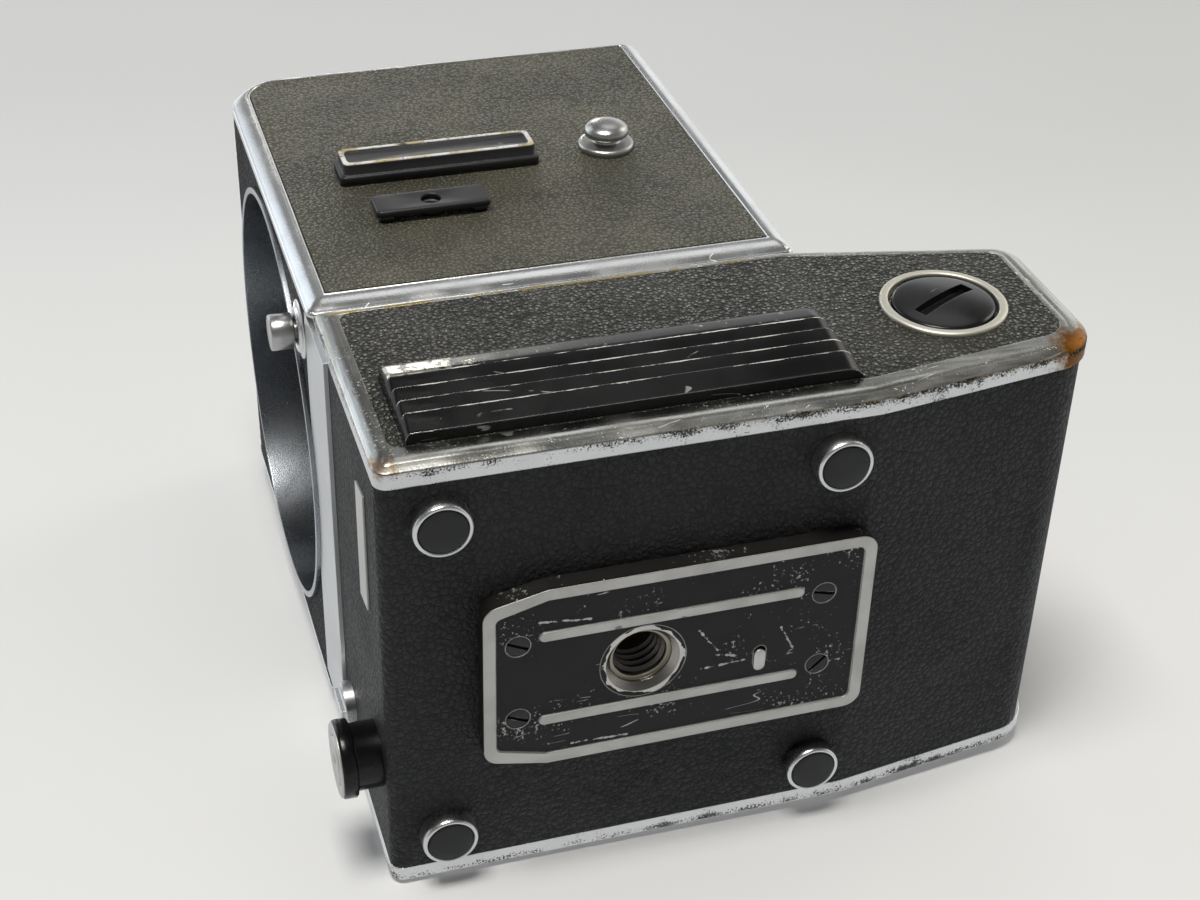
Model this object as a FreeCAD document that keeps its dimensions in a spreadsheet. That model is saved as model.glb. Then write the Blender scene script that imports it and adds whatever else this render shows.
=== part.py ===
import FreeCAD, Part
import Sketcher
import math
import os

# Medium format single lens reflex body with its motor base, in millimetres.
# Frame: +Z up, the lens faces -Y, +X is the holder's left. The origin is on the tripod socket's axis,
# level with the underside of the motor base.

doc = FreeCAD.newDocument("film_camera")
sheet = doc.addObject("Spreadsheet::Sheet", "sizes")


class Size:
    """A length with its value and the sheet expression that gives it."""

    def __init__(self, value, text):
        self.value = value
        self.text = text

    def __float__(self):
        return self.value

    def __add__(self, other):
        return Size(self.value + float(other), "(%s + %s)" % (self.text, textOf(other)))

    def __radd__(self, other):
        return Size(float(other) + self.value, "(%s + %s)" % (textOf(other), self.text))

    def __sub__(self, other):
        return Size(self.value - float(other), "(%s - %s)" % (self.text, textOf(other)))

    def __rsub__(self, other):
        return Size(float(other) - self.value, "(%s - %s)" % (textOf(other), self.text))

    def __mul__(self, other):
        return Size(self.value * float(other), "(%s * %s)" % (self.text, textOf(other)))

    def __rmul__(self, other):
        return Size(float(other) * self.value, "(%s * %s)" % (textOf(other), self.text))

    def __truediv__(self, other):
        return Size(self.value / float(other), "(%s / %s)" % (self.text, textOf(other)))

    def __neg__(self):
        return Size(-self.value, "(0 - %s)" % self.text)


def textOf(quantity):
    """The sheet expression of a size, or a plain number as text."""
    if isinstance(quantity, Size):
        return quantity.text
    return "%.9g" % quantity


def size(alias, value, note):
    """One row of the sheet: the alias, its plain number and what it is."""
    size.row += 1
    sheet.set("A%d" % size.row, note)
    sheet.set("B%d" % size.row, "%.9g" % value)
    sheet.setAlias("B%d" % size.row, alias)
    return Size(float(value), "sizes." + alias)


size.row = 0

# Motor base outline
baseWidth = size("baseWidth", 90, "motor base over both side covers")
socketSetback = size("socketSetback", 44, "tripod socket axis behind the base's front face")
baseDepth = size("baseDepth", 127.6, "motor base, front to rear")
baseHeight = size("baseHeight", 50.5, "motor base, underside to top face")
taperRun = size("taperRun", 43, "length of the tapered tail")
tailRise = size("tailRise", 6.0, "rise of the underside along the tail")
tailDrop = size("tailDrop", 9.2, "fall of the top face along the tail")
tailLowRadius = size("tailLowRadius", 9, "round of the tail's lower corner")
tailTopRadius = size("tailTopRadius", 5, "round of the tail's upper corner")
noseRadius = size("noseRadius", 2.4, "round of the base's front corners")
coverThickness = size("coverThickness", 4, "side cover of the base")
coverRound = size("coverRound", 3, "rounded edge of a side cover")
leather = size("leather", 0.8, "thickness of the leathercloth")
baseWall = size("baseWall", 2.6, "wall of the motor housing")
panelFront = size("panelFront", 3.6, "cover rim in front of its leathercloth")
panelRear = size("panelRear", 3.4, "cover rim behind its leathercloth")
panelLow = size("panelLow", 5.2, "cover rim below its leathercloth")
panelTop = size("panelTop", 2.6, "cover rim above its leathercloth")
panelRadius = size("panelRadius", 2.6, "corner of the cover's leathercloth")

# Upper body outline
upperWidth = size("upperWidth", 88, "upper body over both side frames")
upperDepth = size("upperDepth", 91, "upper body, front frame edge to rear frame edge")
upperLift = size("upperLift", 1.0, "front frame edge ahead of the base's front face")
crownRise = size("crownRise", 12.7, "top edge above the mount sleeve")
seam = size("seam", 1.5, "seam between base and side frames")
frameThickness = size("frameThickness", 1.8, "side frame of the upper body")
frameFront = size("frameFront", 4.4, "side frame in front of its leathercloth")
frameRear = size("frameRear", 3.8, "side frame behind its leathercloth")
frameLow = size("frameLow", 5.6, "side frame below its leathercloth")
frameTop = size("frameTop", 1.5, "side frame above its leathercloth")
frameRound = size("frameRound", 1.3, "rounded edge of a side frame")
browRadius = size("browRadius", 12, "round of the frame's upper front corner")
heelRadius = size("heelRadius", 2, "round of the frame's other corners")
shellWall = size("shellWall", 2.5, "wall of the upper body")
frontPlateThickness = size("frontPlateThickness", 3, "front plate")
rearPlateThickness = size("rearPlateThickness", 2.8, "rear plate")

coveringGap = size("coveringGap", 0.3, "bare strip between the body and the tail's leathercloth")

# Lens mount
mountLift = size("mountLift", 3.6, "mount sleeve above the base's top face")
mountRadius = size("mountRadius", 41.6, "outside of the mount sleeve")
mountWall = size("mountWall", 1.2, "wall of the mount sleeve")
mountProud = size("mountProud", 1.6, "mount sleeve ahead of the base's front face")
mountDepth = size("mountDepth", 12.6, "length of the mount sleeve")
flangeThickness = size("flangeThickness", 3, "bayonet flange")
throatRadius = size("throatRadius", 29.5, "lens throat")
lugNotch = size("lugNotch", 3.2, "bayonet notch beyond the throat")
lugWidth = size("lugWidth", 12, "bayonet notch across")
mountScrewRadius = size("mountScrewRadius", 1.7, "mount screw head")
mountScrewCircle = size("mountScrewCircle", 36.6, "mount screws from the lens axis")
mountScrewShank = size("mountScrewShank", 0.95, "mount screw shank radius")
mountScrewSlot = size("mountScrewSlot", 0.5, "mount screw slot")
screwHeadRise = size("screwHeadRise", 0.5, "mount screw head above the flange")

# Mirror chamber
chamberHalf = size("chamberHalf", 30.5, "half the chamber's width")
chamberWall = size("chamberWall", 1.5, "wall of the mirror box")
chamberFloorDrop = size("chamberFloorDrop", 30.2, "chamber floor below the lens axis")
chamberGap = size("chamberGap", 0.2, "gap between the mirror box and the bayonet flange")
chamberDrop = size("chamberDrop", 0.8, "mirror box below the top plate")
mirrorPivotDrop = size("mirrorPivotDrop", 8, "mirror hinge below the top plate's face")
mirrorPivotSetback = size("mirrorPivotSetback", 7.5, "mirror hinge ahead of the rear frame edge")
mirrorLength = size("mirrorLength", 67.6, "mirror, hinge to tip")
mirrorWidth = size("mirrorWidth", 58, "mirror across")
mirrorGlass = size("mirrorGlass", 1.4, "mirror glass")
carrierThickness = size("carrierThickness", 0.9, "mirror carrier")
hingePinRadius = size("hingePinRadius", 1.0, "mirror hinge pin")
flapPinRadius = size("flapPinRadius", 0.8, "flap hinge pins")
knuckleWall = size("knuckleWall", 0.8, "wall of a hinge knuckle")
hubOverlap = size("hubOverlap", 0.3, "mirror carrier let into its hub")
flapThickness = size("flapThickness", 1.0, "rear flap")
flapWidth = size("flapWidth", 59, "rear flap across")
flapGap = size("flapGap", 0.4, "gap where the two flaps meet")
flapTopRise = size("flapTopRise", 30.3, "upper flap hinge above the lens axis")
flapLowDrop = size("flapLowDrop", 28.2, "lower flap hinge below the lens axis")
flapSetback = size("flapSetback", 5, "flap hinges ahead of the rear frame edge")
gateHalf = size("gateHalf", 27.5, "half the film gate")
runningGap = size("runningGap", 0.05, "radial gap of a turning fit")
slideGap = size("slideGap", 0.08, "radial gap of a sliding fit")

# Finder seat
screenSize = size("screenSize", 60, "focusing screen side")
screenThickness = size("screenThickness", 1.6, "focusing screen")
screenFrameWidth = size("screenFrameWidth", 3, "screen frame around the screen")
screenFrameDrop = size("screenFrameDrop", 0.6, "screen frame below the top plate")
screenFrameSink = size("screenFrameSink", 0.4, "screen frame below the top plate's face")
screenLedge = size("screenLedge", 1.5, "ledge under the focusing screen")
screenClear = size("screenClear", 0.1, "gap around the focusing screen")
screenSetback = size("screenSetback", 1.5, "screen frame ahead of the mirror hinge")
topPlateThickness = size("topPlateThickness", 2.5, "top plate")
railWidth = size("railWidth", 3, "finder rail")
railHeight = size("railHeight", 1.2, "finder rail")
railFront = size("railFront", 4, "finder rail behind the front plate")

# Magazine hooks and studs
hookOffset = size("hookOffset", 20, "magazine hook from the centre line")
hookWidth = size("hookWidth", 6, "magazine hook")
hookReach = size("hookReach", 3.4, "magazine hook behind the rear plate")
hookSheet = size("hookSheet", 1.4, "thickness of the magazine hook")
hookDrop = size("hookDrop", 9, "magazine hook's underside below the top face")
hookTip = size("hookTip", 4, "magazine hook's tip below the top face")
studOffset = size("studOffset", 26, "magazine stud from the centre line")
studRadius = size("studRadius", 1.8, "magazine stud")
studReach = size("studReach", 2.4, "magazine stud behind the rear plate")
studRise = size("studRise", 5, "magazine stud above the side frame's lower edge")

# Fittings on the left side
nameplateLength = size("nameplateLength", 39.6, "nameplate")
nameplateHeight = size("nameplateHeight", 8.8, "nameplate")
nameplateProud = size("nameplateProud", 4.2, "nameplate above the frame")
nameplateFront = size("nameplateFront", 13.8, "nameplate behind the base's front face")
nameplateRise = size("nameplateRise", 0.7, "nameplate's lower edge above the lens axis")
nameplateStep = size("nameplateStep", 0.7, "step of the nameplate's base")
nameplateFoot = size("nameplateFoot", 1.9, "height of the nameplate's base")
nameplateRound = size("nameplateRound", 1.2, "corner of the nameplate")
shoeLength = size("shoeLength", 21.8, "accessory shoe")
shoeHeight = size("shoeHeight", 7.2, "accessory shoe")
shoeFront = size("shoeFront", 17.4, "accessory shoe behind the base's front face")
shoeDrop = size("shoeDrop", 16.1, "accessory shoe's lower edge below the lens axis")
shoeProud = size("shoeProud", 2.6, "accessory shoe above the frame")
shoePlate = size("shoePlate", 1.3, "thickness of the shoe's plate")
shoeCorner = size("shoeCorner", 1, "corner of the shoe's plate")
shoeBoss = size("shoeBoss", 2.6, "boss under the shoe's plate")
shoeBorer = size("shoeBorer", 1.9, "hole through the shoe")
shoeInset = size("shoeInset", 0.6, "shoe's feet inside its outline")
shoeFootLength = size("shoeFootLength", 2.8, "foot at each end of the shoe")
shoeScrewGap = size("shoeScrewGap", 0.05, "gap around the shoe's screw")
shoeScrewSink = size("shoeScrewSink", 0.2, "shoe's screw below the plate's rear face")
shoeScrewSlot = size("shoeScrewSlot", 0.5, "slot of the shoe's screw, width and depth")
lugRadius = size("lugRadius", 4.4, "strap lug head")
lugFlangeRadius = size("lugFlangeRadius", 5.6, "strap lug flange")
lugNeckRadius = size("lugNeckRadius", 2.6, "strap lug neck")
lugFlangeRise = size("lugFlangeRise", 1.4, "strap lug flange thickness")
lugNeckRise = size("lugNeckRise", 1.4, "strap lug neck length")
lugHeadRise = size("lugHeadRise", 2.8, "strap lug head height")
lugRimRise = size("lugRimRise", 1.3, "straight rim of the strap lug's head")
lugCrown = size("lugCrown", 2.7, "flat centre of the strap lug's head")
lugSetback = size("lugSetback", 68.3, "strap lug behind the base's front face")
lugRise = size("lugRise", 5.3, "strap lug above the lens axis")

# Lens release
lensReleaseTurn = math.radians(43.9)
lensReleaseReach = size("lensReleaseReach", 5.6, "lens release outside the mount sleeve")
lensReleaseSeat = size("lensReleaseSeat", 5.7, "radius of the release's seat plate")
lensReleaseRadius = size("lensReleaseRadius", 3.3, "lens release button")
lensReleaseProud = size("lensReleaseProud", 5.6, "lens release ahead of the front leathercloth")
lensReleaseStem = size("lensReleaseStem", 1.6, "lens release stem radius")
lensReleaseTravel = size("lensReleaseTravel", 2.0, "lens release travel")
lensSeatRise = size("lensSeatRise", 0.3, "release's seat plate above the leathercloth")
lensStemEnd = size("lensStemEnd", 1.5, "release's stem behind the front plate")
pressGap = size("pressGap", 0.2, "gap left under a pressed button")

# Front of the motor base
bandDrop = size("bandDrop", 11.5, "front band's lower edge below the base's top face")
bandRise = size("bandRise", 6.5, "front band's upper edge above the base's top face")
stripLength = size("stripLength", 23.2, "plain strip on the front leathercloth")
stripHeight = size("stripHeight", 5.9, "plain strip on the front leathercloth")
stripSlant = size("stripSlant", 0.8, "slant of the strip's ends")
stripLeft = size("stripLeft", 9.5, "strip's near end from the lens axis plane")
stripLow = size("stripLow", 9.8, "strip's lower edge above the underside")
stripRise = size("stripRise", 0.4, "strip above the leathercloth")
releaseOffset = size("releaseOffset", 21, "shutter release to the right of the lens axis")
releaseHeight = size("releaseHeight", 9.2, "shutter release above the underside")
releaseBarrelRadius = size("releaseBarrelRadius", 6, "shutter release barrel")
releaseBarrelLength = size("releaseBarrelLength", 4.6, "shutter release barrel")
releaseCollarRadius = size("releaseCollarRadius", 7, "shutter release collar")
releaseCollarLength = size("releaseCollarLength", 2.6, "shutter release collar")
releaseButtonRadius = size("releaseButtonRadius", 4.3, "shutter release button")
releaseStem = size("releaseStem", 1.8, "shutter release stem radius")
releaseTravel = size("releaseTravel", 2.0, "shutter release travel")
cableSocket = size("cableSocket", 1.3, "cable release socket radius")
cableSocketDepth = size("cableSocketDepth", 4, "cable release socket depth")
releaseButtonRise = size("releaseButtonRise", 0.5, "shutter release button ahead of its collar")
releaseRingRise = size("releaseRingRise", 0.3, "bare ring on the collar's face")
releaseRingInset = size("releaseRingInset", 0.25, "bare ring inside the collar's edge")
releaseWell = size("releaseWell", 2.2, "well behind the shutter release button")
releaseStemEnd = size("releaseStemEnd", 1, "stem's end behind the housing's wall")
contactHalf = size("contactHalf", 4, "half the width of the release contact")
contactSheet = size("contactSheet", 0.8, "release contact sheet")
contactGap = size("contactGap", 0.3, "gap to the release contact with the button pressed")
lockOffset = size("lockOffset", 30, "release lock to the right of the lens axis")
lockHeight = size("lockHeight", 33.4, "release lock above the underside")
lockRadius = size("lockRadius", 4.4, "release lock disc")
lockRise = size("lockRise", 1.9, "release lock disc height")
lockLeverWidth = size("lockLeverWidth", 2.2, "release lock lever")
lockLeverHalf = size("lockLeverHalf", 3.5, "half the length of the release lock lever")
lockLeverRise = size("lockLeverRise", 0.9, "release lock lever above its disc")

# Left cover fittings
gripFront = size("gripFront", 6, "grip behind the base's front face")
gripLength = size("gripLength", 78, "grip")
gripLow = size("gripLow", 5.6, "grip's lower edge above the underside")
gripRibs = 4
ribPitch = size("ribPitch", 3.75, "rib to rib on the grip")
gripBrow = size("gripBrow", 5.5, "rounded brow above the grip's top crest")
gripProud = size("gripProud", 3.6, "grip above the cover")
ribDepth = size("ribDepth", 1.4, "valley between ribs")
gripCorner = size("gripCorner", 2.4, "corner of the grip")
coinSetback = size("coinSetback", 106.8, "cover lock behind the base's front face")
coinHeight = size("coinHeight", 24.5, "cover lock above the underside")
coinRingRadius = size("coinRingRadius", 11.3, "cover lock ring")
coinRingWall = size("coinRingWall", 1.5, "cover lock ring wall")
coinRingRise = size("coinRingRise", 0.7, "cover lock ring above the cover")
coinRim = size("coinRim", 0.1, "straight rim of the cover lock above the cover")
coinCrown = size("coinCrown", 7.4, "flat centre of the cover lock's crown")
coinSlotWidth = size("coinSlotWidth", 2.4, "coin slot")
coinSlotDepth = size("coinSlotDepth", 1.8, "coin slot depth")
coinSlotLength = size("coinSlotLength", 14.6, "coin slot")
discGap = size("discGap", 0.25, "gap between the cover lock and its ring")
coinShaft = size("coinShaft", 3, "cover lock shaft radius")
coinReach = size("coinReach", 12, "cover lock shaft behind the cover")
coinTilt = 22
lockNutRadius = size("lockNutRadius", 6, "nut of the cover lock")
nutSetback = size("nutSetback", 4.4, "cover lock nut behind the cover's inner face")
nutLength = size("nutLength", 3.6, "nut of the cover lock")

# Right cover fittings
dialSetback = size("dialSetback", 88, "mode dial behind the base's front face")
dialHeight = size("dialHeight", 25, "mode dial above the underside")
dialRadius = size("dialRadius", 11, "mode dial")
dialRise = size("dialRise", 1.6, "mode dial above the cover")
dialPlateRadius = size("dialPlateRadius", 15, "mode dial scale plate")
dialPlateRise = size("dialPlateRise", 0.5, "mode dial scale plate above the cover")
dialBarWidth = size("dialBarWidth", 3, "grip bar across the dial")
dialBarHalf = size("dialBarHalf", 10.4, "half the length of the dial's grip bar")
dialGap = size("dialGap", 0.1, "gap between the dial and its scale plate")
dialStemReach = size("dialStemReach", 8, "mode dial shaft behind the cover's face")
switchHalf = size("switchHalf", 9, "half the side of the mode switch")
switchDepth = size("switchDepth", 3.4, "depth of the mode switch")
dialShaft = size("dialShaft", 2, "mode dial shaft radius")

# Underside
footRadius = size("footRadius", 5.0, "foot cup")
footPadRadius = size("footPadRadius", 4.1, "foot pad")
footCupDrop = size("footCupDrop", 3.3, "foot cup below the underside")
footPadDrop = size("footPadDrop", 3.5, "foot pad below the underside")
footPadSeat = size("footPadSeat", 1.6, "seat of the pad in its cup")
footLip = size("footLip", 4.7, "foot cup at its lip")
footLipRise = size("footLipRise", 0.5, "height of the bevel at the cup's lip")
footSpacing = size("footSpacing", 67.4, "feet, left to right")
footFront = size("footFront", 10, "front feet behind the front face")
footPitch = size("footPitch", 68, "feet, front to rear")
plateWidth = size("plateWidth", 37.8, "tripod plate")
plateNoseWidth = size("plateNoseWidth", 32.8, "tripod plate at its front edge")
plateFront = size("plateFront", 28, "tripod plate ahead of the socket axis")
plateShoulder = size("plateShoulder", 16.9, "tripod plate's full width begins ahead of the axis")
plateRear = size("plateRear", 41.3, "tripod plate behind the socket axis")
plateCorner = size("plateCorner", 3, "corner of the tripod plate")
plateBorder = size("plateBorder", 2.1, "bare border of the tripod plate")
plateRecess = size("plateRecess", 0.3, "painted field below the border")
stripeOffset = size("stripeOffset", 9.1, "bare stripe from the socket axis")
stripeWidth = size("stripeWidth", 1.8, "bare stripe")
stripeFront = size("stripeFront", 17.4, "bare stripe ahead of the socket axis")
stripeRear = size("stripeRear", 27.6, "bare stripe behind the socket axis")
plateScrewRadius = size("plateScrewRadius", 2.1, "tripod plate screw head")
plateScrewOffset = size("plateScrewOffset", 7.9, "tripod plate screw from the centre line")
plateScrewFront = size("plateScrewFront", 22, "front plate screws ahead of the axis")
plateScrewRear = size("plateScrewRear", 32.4, "rear plate screws behind the axis")
plateScrewLength = size("plateScrewLength", 6, "tripod plate screw")
plateScrewShank = size("plateScrewShank", 1.2, "tripod plate screw shank radius")
plateScrewSeat = size("plateScrewSeat", 1.4, "depth of the tripod plate screw's seat")
plateScrewSlot = size("plateScrewSlot", 0.7, "tripod plate screw slot")
plateScrewSlotDepth = size("plateScrewSlotDepth", 0.6, "tripod plate screw slot depth")
twistSetback = size("twistSetback", 21.3, "anti-twist hole behind the axis")
twistOffset = size("twistOffset", 3.7, "anti-twist hole to the right of the axis")
twistRadius = size("twistRadius", 1.1, "end radius of the anti-twist hole")
twistHalf = size("twistHalf", 1.2, "anti-twist hole, centre to each end radius")
twistDepth = size("twistDepth", 2, "anti-twist hole depth")
socketRadius = size("socketRadius", 4.7625, "three-eighths inch tripod thread")
socketMouth = size("socketMouth", 6.6, "worn mouth of the tripod socket")
socketMouthDepth = size("socketMouthDepth", 1.8, "depth of the tripod socket's mouth")
bushingRadius = size("bushingRadius", 7.6, "tripod bushing")
bushingClearance = size("bushingClearance", 2.8, "motor clear of the tripod bushing")
bushingCap = size("bushingCap", 1.4, "closed end of the tripod bushing")

# Drive and power
gearModule = size("gearModule", 0.8, "gear module")
shaftTeeth = 12
idlerTeeth = 31
pinionTeeth = 12
magazineTeeth = 10
gearWidth = size("gearWidth", 4, "gear face width")
gearSetback = size("gearSetback", 28, "gears behind the base's front face")
shaftLift = size("shaftLift", 3.5, "drive shaft above the mount sleeve's lowest line")
shaftRadius = size("shaftRadius", 1.5, "drive shaft")
shaftKeyReach = size("shaftKeyReach", 3.6, "drive key ahead of the bayonet flange")
keySlotWidth = size("keySlotWidth", 0.8, "slot in the drive key")
keySlotDepth = size("keySlotDepth", 1.6, "slot in the drive key")
magazineGearProud = size("magazineGearProud", 3, "magazine gear behind the rear plate")
magazineGearGap = size("magazineGearGap", 0.4, "magazine gear clear of the rear plate")
gearGap = size("gearGap", 0.4, "gap between the gears and the motor's nose")
idlerPinEnd = size("idlerPinEnd", 0.6, "idler pin behind the gear")
gearPlateHalf = size("gearPlateHalf", 12.5, "half the width of the gear plate")
gearPlateGap = size("gearPlateGap", 2, "gear plate ahead of the gears")
motorNoseLength = size("motorNoseLength", 1.2, "motor's nose")
motorNoseRadius = size("motorNoseRadius", 4, "motor's nose")
motorShaftDepth = size("motorShaftDepth", 7, "motor shaft inside the can")
cradleInset = size("cradleInset", 4, "cradle inside each end of the motor")
cradleDrop = size("cradleDrop", 6, "cradle's top below the motor's axis")
cradleGap = size("cradleGap", 0.2, "cradle clear of the tripod bushing")
cellGap = size("cellGap", 0.4, "gap between the battery cells")
cellFloorGap = size("cellFloorGap", 0.2, "battery cells above their tray")
trayEndGap = size("trayEndGap", 1.8, "tray ahead of and behind the cells")
trayEndRise = size("trayEndRise", 6, "tray's ends above the cells' axis")
cellContact = size("cellContact", 4, "battery contact radius")
idlerPinRadius = size("idlerPinRadius", 2, "idler pin")
pinionBore = size("pinionBore", 1.2, "motor shaft radius")
gearPlateThickness = size("gearPlateThickness", 1.6, "gear plate")
motorRadius = size("motorRadius", 12.4, "motor can")
motorLength = size("motorLength", 50, "motor can")
batteryRadius = size("batteryRadius", 11.4, "battery cell")
batteryLength = size("batteryLength", 38, "battery cell")
batteryOffset = size("batteryOffset", 25, "battery cells to the left of the centre")
batteryFront = size("batteryFront", 5.6, "front cell behind the front face")
trayThickness = size("trayThickness", 0.8, "battery tray sheet")

# Levels and planes that follow from the sizes
lensAxisHeight = baseHeight + mountLift + mountRadius
upperTop = lensAxisHeight + mountRadius + crownRise
topZ = upperTop - frameTop
mirrorPivotHeight = topZ - mirrorPivotDrop
chamberFloor = lensAxisHeight - chamberFloorDrop
flapTopHeight = lensAxisHeight + flapTopRise
flapLowHeight = lensAxisHeight - flapLowDrop
lensReleaseOffset = (mountRadius + lensReleaseReach) * math.cos(lensReleaseTurn)
lensReleaseHeight = lensAxisHeight - (mountRadius + lensReleaseReach) * math.sin(lensReleaseTurn)
shaftHeight = lensAxisHeight - mountRadius + shaftLift
bandLow = baseHeight - bandDrop
bandTop = baseHeight + bandRise
frontY = -socketSetback
rearY = frontY + baseDepth
taperY = rearY - taperRun
halfBase = baseWidth / 2
halfHousing = halfBase - coverThickness
halfUpper = upperWidth / 2
halfShell = halfUpper - frameThickness
upperFrontY = frontY - upperLift
upperRearY = upperFrontY + upperDepth
frameLowZ = baseHeight + seam
deckZ = baseHeight - leather
mountFrontY = frontY - mountProud
flangeFrontY = mountFrontY + mountDepth
flangeRearY = flangeFrontY + flangeThickness
shellFrontY = frontY + frontPlateThickness
shellRearY = upperRearY - rearPlateThickness
pivotY = upperRearY - mirrorPivotSetback
flapY = upperRearY - flapSetback
floorZ = deckZ + shellWall

axisTurn = {
    "X": FreeCAD.Rotation(FreeCAD.Vector(0, 1, 0), 90),
    "Y": FreeCAD.Rotation(FreeCAD.Vector(1, 0, 0), -90),
    "Z": FreeCAD.Rotation(),
}


def bind(thing, prop, quantity):
    """Bind a property to a size, or set it when it is a plain number."""
    if isinstance(quantity, Size):
        thing.setExpression(prop, quantity.text)
    elif "." in prop:
        thing.setExpression(prop, textOf(quantity))
    else:
        setattr(thing, prop, quantity)


def place(thing, x, y, z):
    bind(thing, "Placement.Base.x", x)
    bind(thing, "Placement.Base.y", y)
    bind(thing, "Placement.Base.z", z)
    return thing


def box(x, y, z):
    """A block between the low and high value of each axis."""
    block = doc.addObject("Part::Box", "block")
    bind(block, "Length", x[1] - x[0])
    bind(block, "Width", y[1] - y[0])
    bind(block, "Height", z[1] - z[0])
    return place(block, x[0], y[0], z[0])


def rod(axis, radius, low, high, u, v):
    """A cylinder along an axis from low to high; u and v are its other two coordinates, in order."""
    thing = doc.addObject("Part::Cylinder", "rod")
    bind(thing, "Radius", radius)
    bind(thing, "Height", high - low)
    thing.Placement = FreeCAD.Placement(FreeCAD.Vector(), axisTurn[axis])
    return seat(thing, axis, low, u, v)


def cone(axis, lowRadius, highRadius, low, high, u, v):
    """A cone along an axis from its low radius to its high radius."""
    thing = doc.addObject("Part::Cone", "cone")
    bind(thing, "Radius1", lowRadius)
    bind(thing, "Radius2", highRadius)
    bind(thing, "Height", high - low)
    thing.Placement = FreeCAD.Placement(FreeCAD.Vector(), axisTurn[axis])
    return seat(thing, axis, low, u, v)


def seat(thing, axis, low, u, v):
    if axis == "X":
        return place(thing, low, u, v)
    if axis == "Y":
        return place(thing, u, low, v)
    return place(thing, u, v, low)


def join(*things):
    fuse = doc.addObject("Part::MultiFuse", "joined")
    fuse.Shapes = list(things)
    fuse.Refine = True
    return fuse


def group(*things):
    """Separate solids that share one node."""
    compound = doc.addObject("Part::Compound", "group")
    compound.Links = list(things)
    return compound


def cut(base, *tools):
    """The base less every tool."""
    tool = tools[0] if len(tools) == 1 else join(*tools)
    result = doc.addObject("Part::Cut", "cut")
    result.Base = base
    result.Tool = tool
    result.Refine = True
    return result


def common(base, tool):
    result = doc.addObject("Part::Common", "common")
    result.Base = base
    result.Tool = tool
    result.Refine = True
    return result


def originPlane(body, role):
    return [item for item in body.Origin.OriginFeatures if item.Role == role][0]


def prism(axis, corners, low, high):
    """A sketched outline padded along an axis. Corners are (Y, Z), (X, Z) or (X, Y) pairs."""
    body = doc.addObject("PartDesign::Body", "outline")
    sketch = body.newObject("Sketcher::SketchObject", "corners")
    role = {"X": "YZ_Plane", "Y": "XZ_Plane", "Z": "XY_Plane"}[axis]
    sketch.AttachmentSupport = [(originPlane(body, role), "")]
    sketch.MapMode = "FlatFace"
    count = len(corners)
    points = [FreeCAD.Vector(float(u), float(v), 0) for u, v in corners]
    for index in range(count):
        sketch.addGeometry(Part.LineSegment(points[index], points[(index + 1) % count]))
    for index, (u, v) in enumerate(corners):
        before = (index - 1) % count
        sketch.addConstraint(Sketcher.Constraint("Coincident", before, 2, index, 1))
        for kind, quantity in (("DistanceX", u), ("DistanceY", v)):
            row = sketch.addConstraint(Sketcher.Constraint(kind, -1, 1, index, 1, float(quantity)))
            if isinstance(quantity, Size):
                sketch.setExpression("Constraints[%d]" % row, quantity.text)
    bind(sketch, "AttachmentOffset.Base.z", -high if axis == "Y" else low)
    pad = body.newObject("PartDesign::Pad", "pad")
    pad.Profile = sketch
    bind(pad, "Length", high - low)
    body.Tip = pad
    doc.recompute()
    return body


def edgesOf(shape, test):
    """Names of the edges whose ends or middle pass a test."""
    return ["Edge%d" % (index + 1) for index, edge in enumerate(shape.Edges) if test(edge)]


def soften(body, radius, test):
    """Round the edges of a sketched body that pass a test."""
    before = body.Tip
    fillet = body.newObject("PartDesign::Fillet", "round")
    fillet.Base = (before, edgesOf(before.Shape, test))
    bind(fillet, "Radius", radius)
    body.Tip = fillet
    doc.recompute()
    return body


def near(value, quantity):
    return abs(value - float(quantity)) < 1e-4


def alongX(u, v):
    """An edge that runs along X through the point (u, v) of the YZ plane."""
    return lambda edge: all(near(point.Point.y, u) and near(point.Point.z, v) for point in edge.Vertexes)


def alongZ(u, v):
    """An edge that runs along Z through the point (u, v) of the XY plane."""
    return lambda edge: all(near(point.Point.x, u) and near(point.Point.y, v) for point in edge.Vertexes)


def onX(level):
    """An edge that lies in the plane X = level."""
    return lambda edge: near(edge.BoundBox.XMin, level) and near(edge.BoundBox.XMax, level)


def onZ(level):
    """An edge that lies in the plane Z = level."""
    return lambda edge: near(edge.BoundBox.ZMin, level) and near(edge.BoundBox.ZMax, level)


pieces = []


def piece(name, thing):
    """Give a finished sub-part its name and keep it for writing."""
    thing.Label = name
    pieces.append(thing)
    return thing


def mirrored(x, side):
    """The low and high X of a span that lies at side times x."""
    if side > 0:
        return x
    return (-x[1], -x[0])


# Motor base: outline shared by the housing, the leathercloth and the side covers

def baseOutline(inset, low, high, flat):
    """The base's side profile, drawn in by inset, between two X levels. Flat keeps its low front edge."""
    top = baseHeight - inset
    slopeBottom = tailRise / taperRun
    slopeTop = tailDrop / taperRun
    rear = rearY - inset
    tail = rear - taperY
    corners = [
        (frontY + inset, inset),
        (taperY, inset),
        (rear, inset + slopeBottom * tail),
        (rear, top - slopeTop * tail),
        (taperY, top),
        (frontY + inset, top),
    ]
    body = prism("X", corners, low, high)
    soften(body, tailLowRadius - inset, alongX(*corners[2]))
    soften(body, tailTopRadius - inset, alongX(*corners[3]))
    if not flat:
        soften(body, noseRadius - inset, alongX(*corners[0]))
    return body


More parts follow.
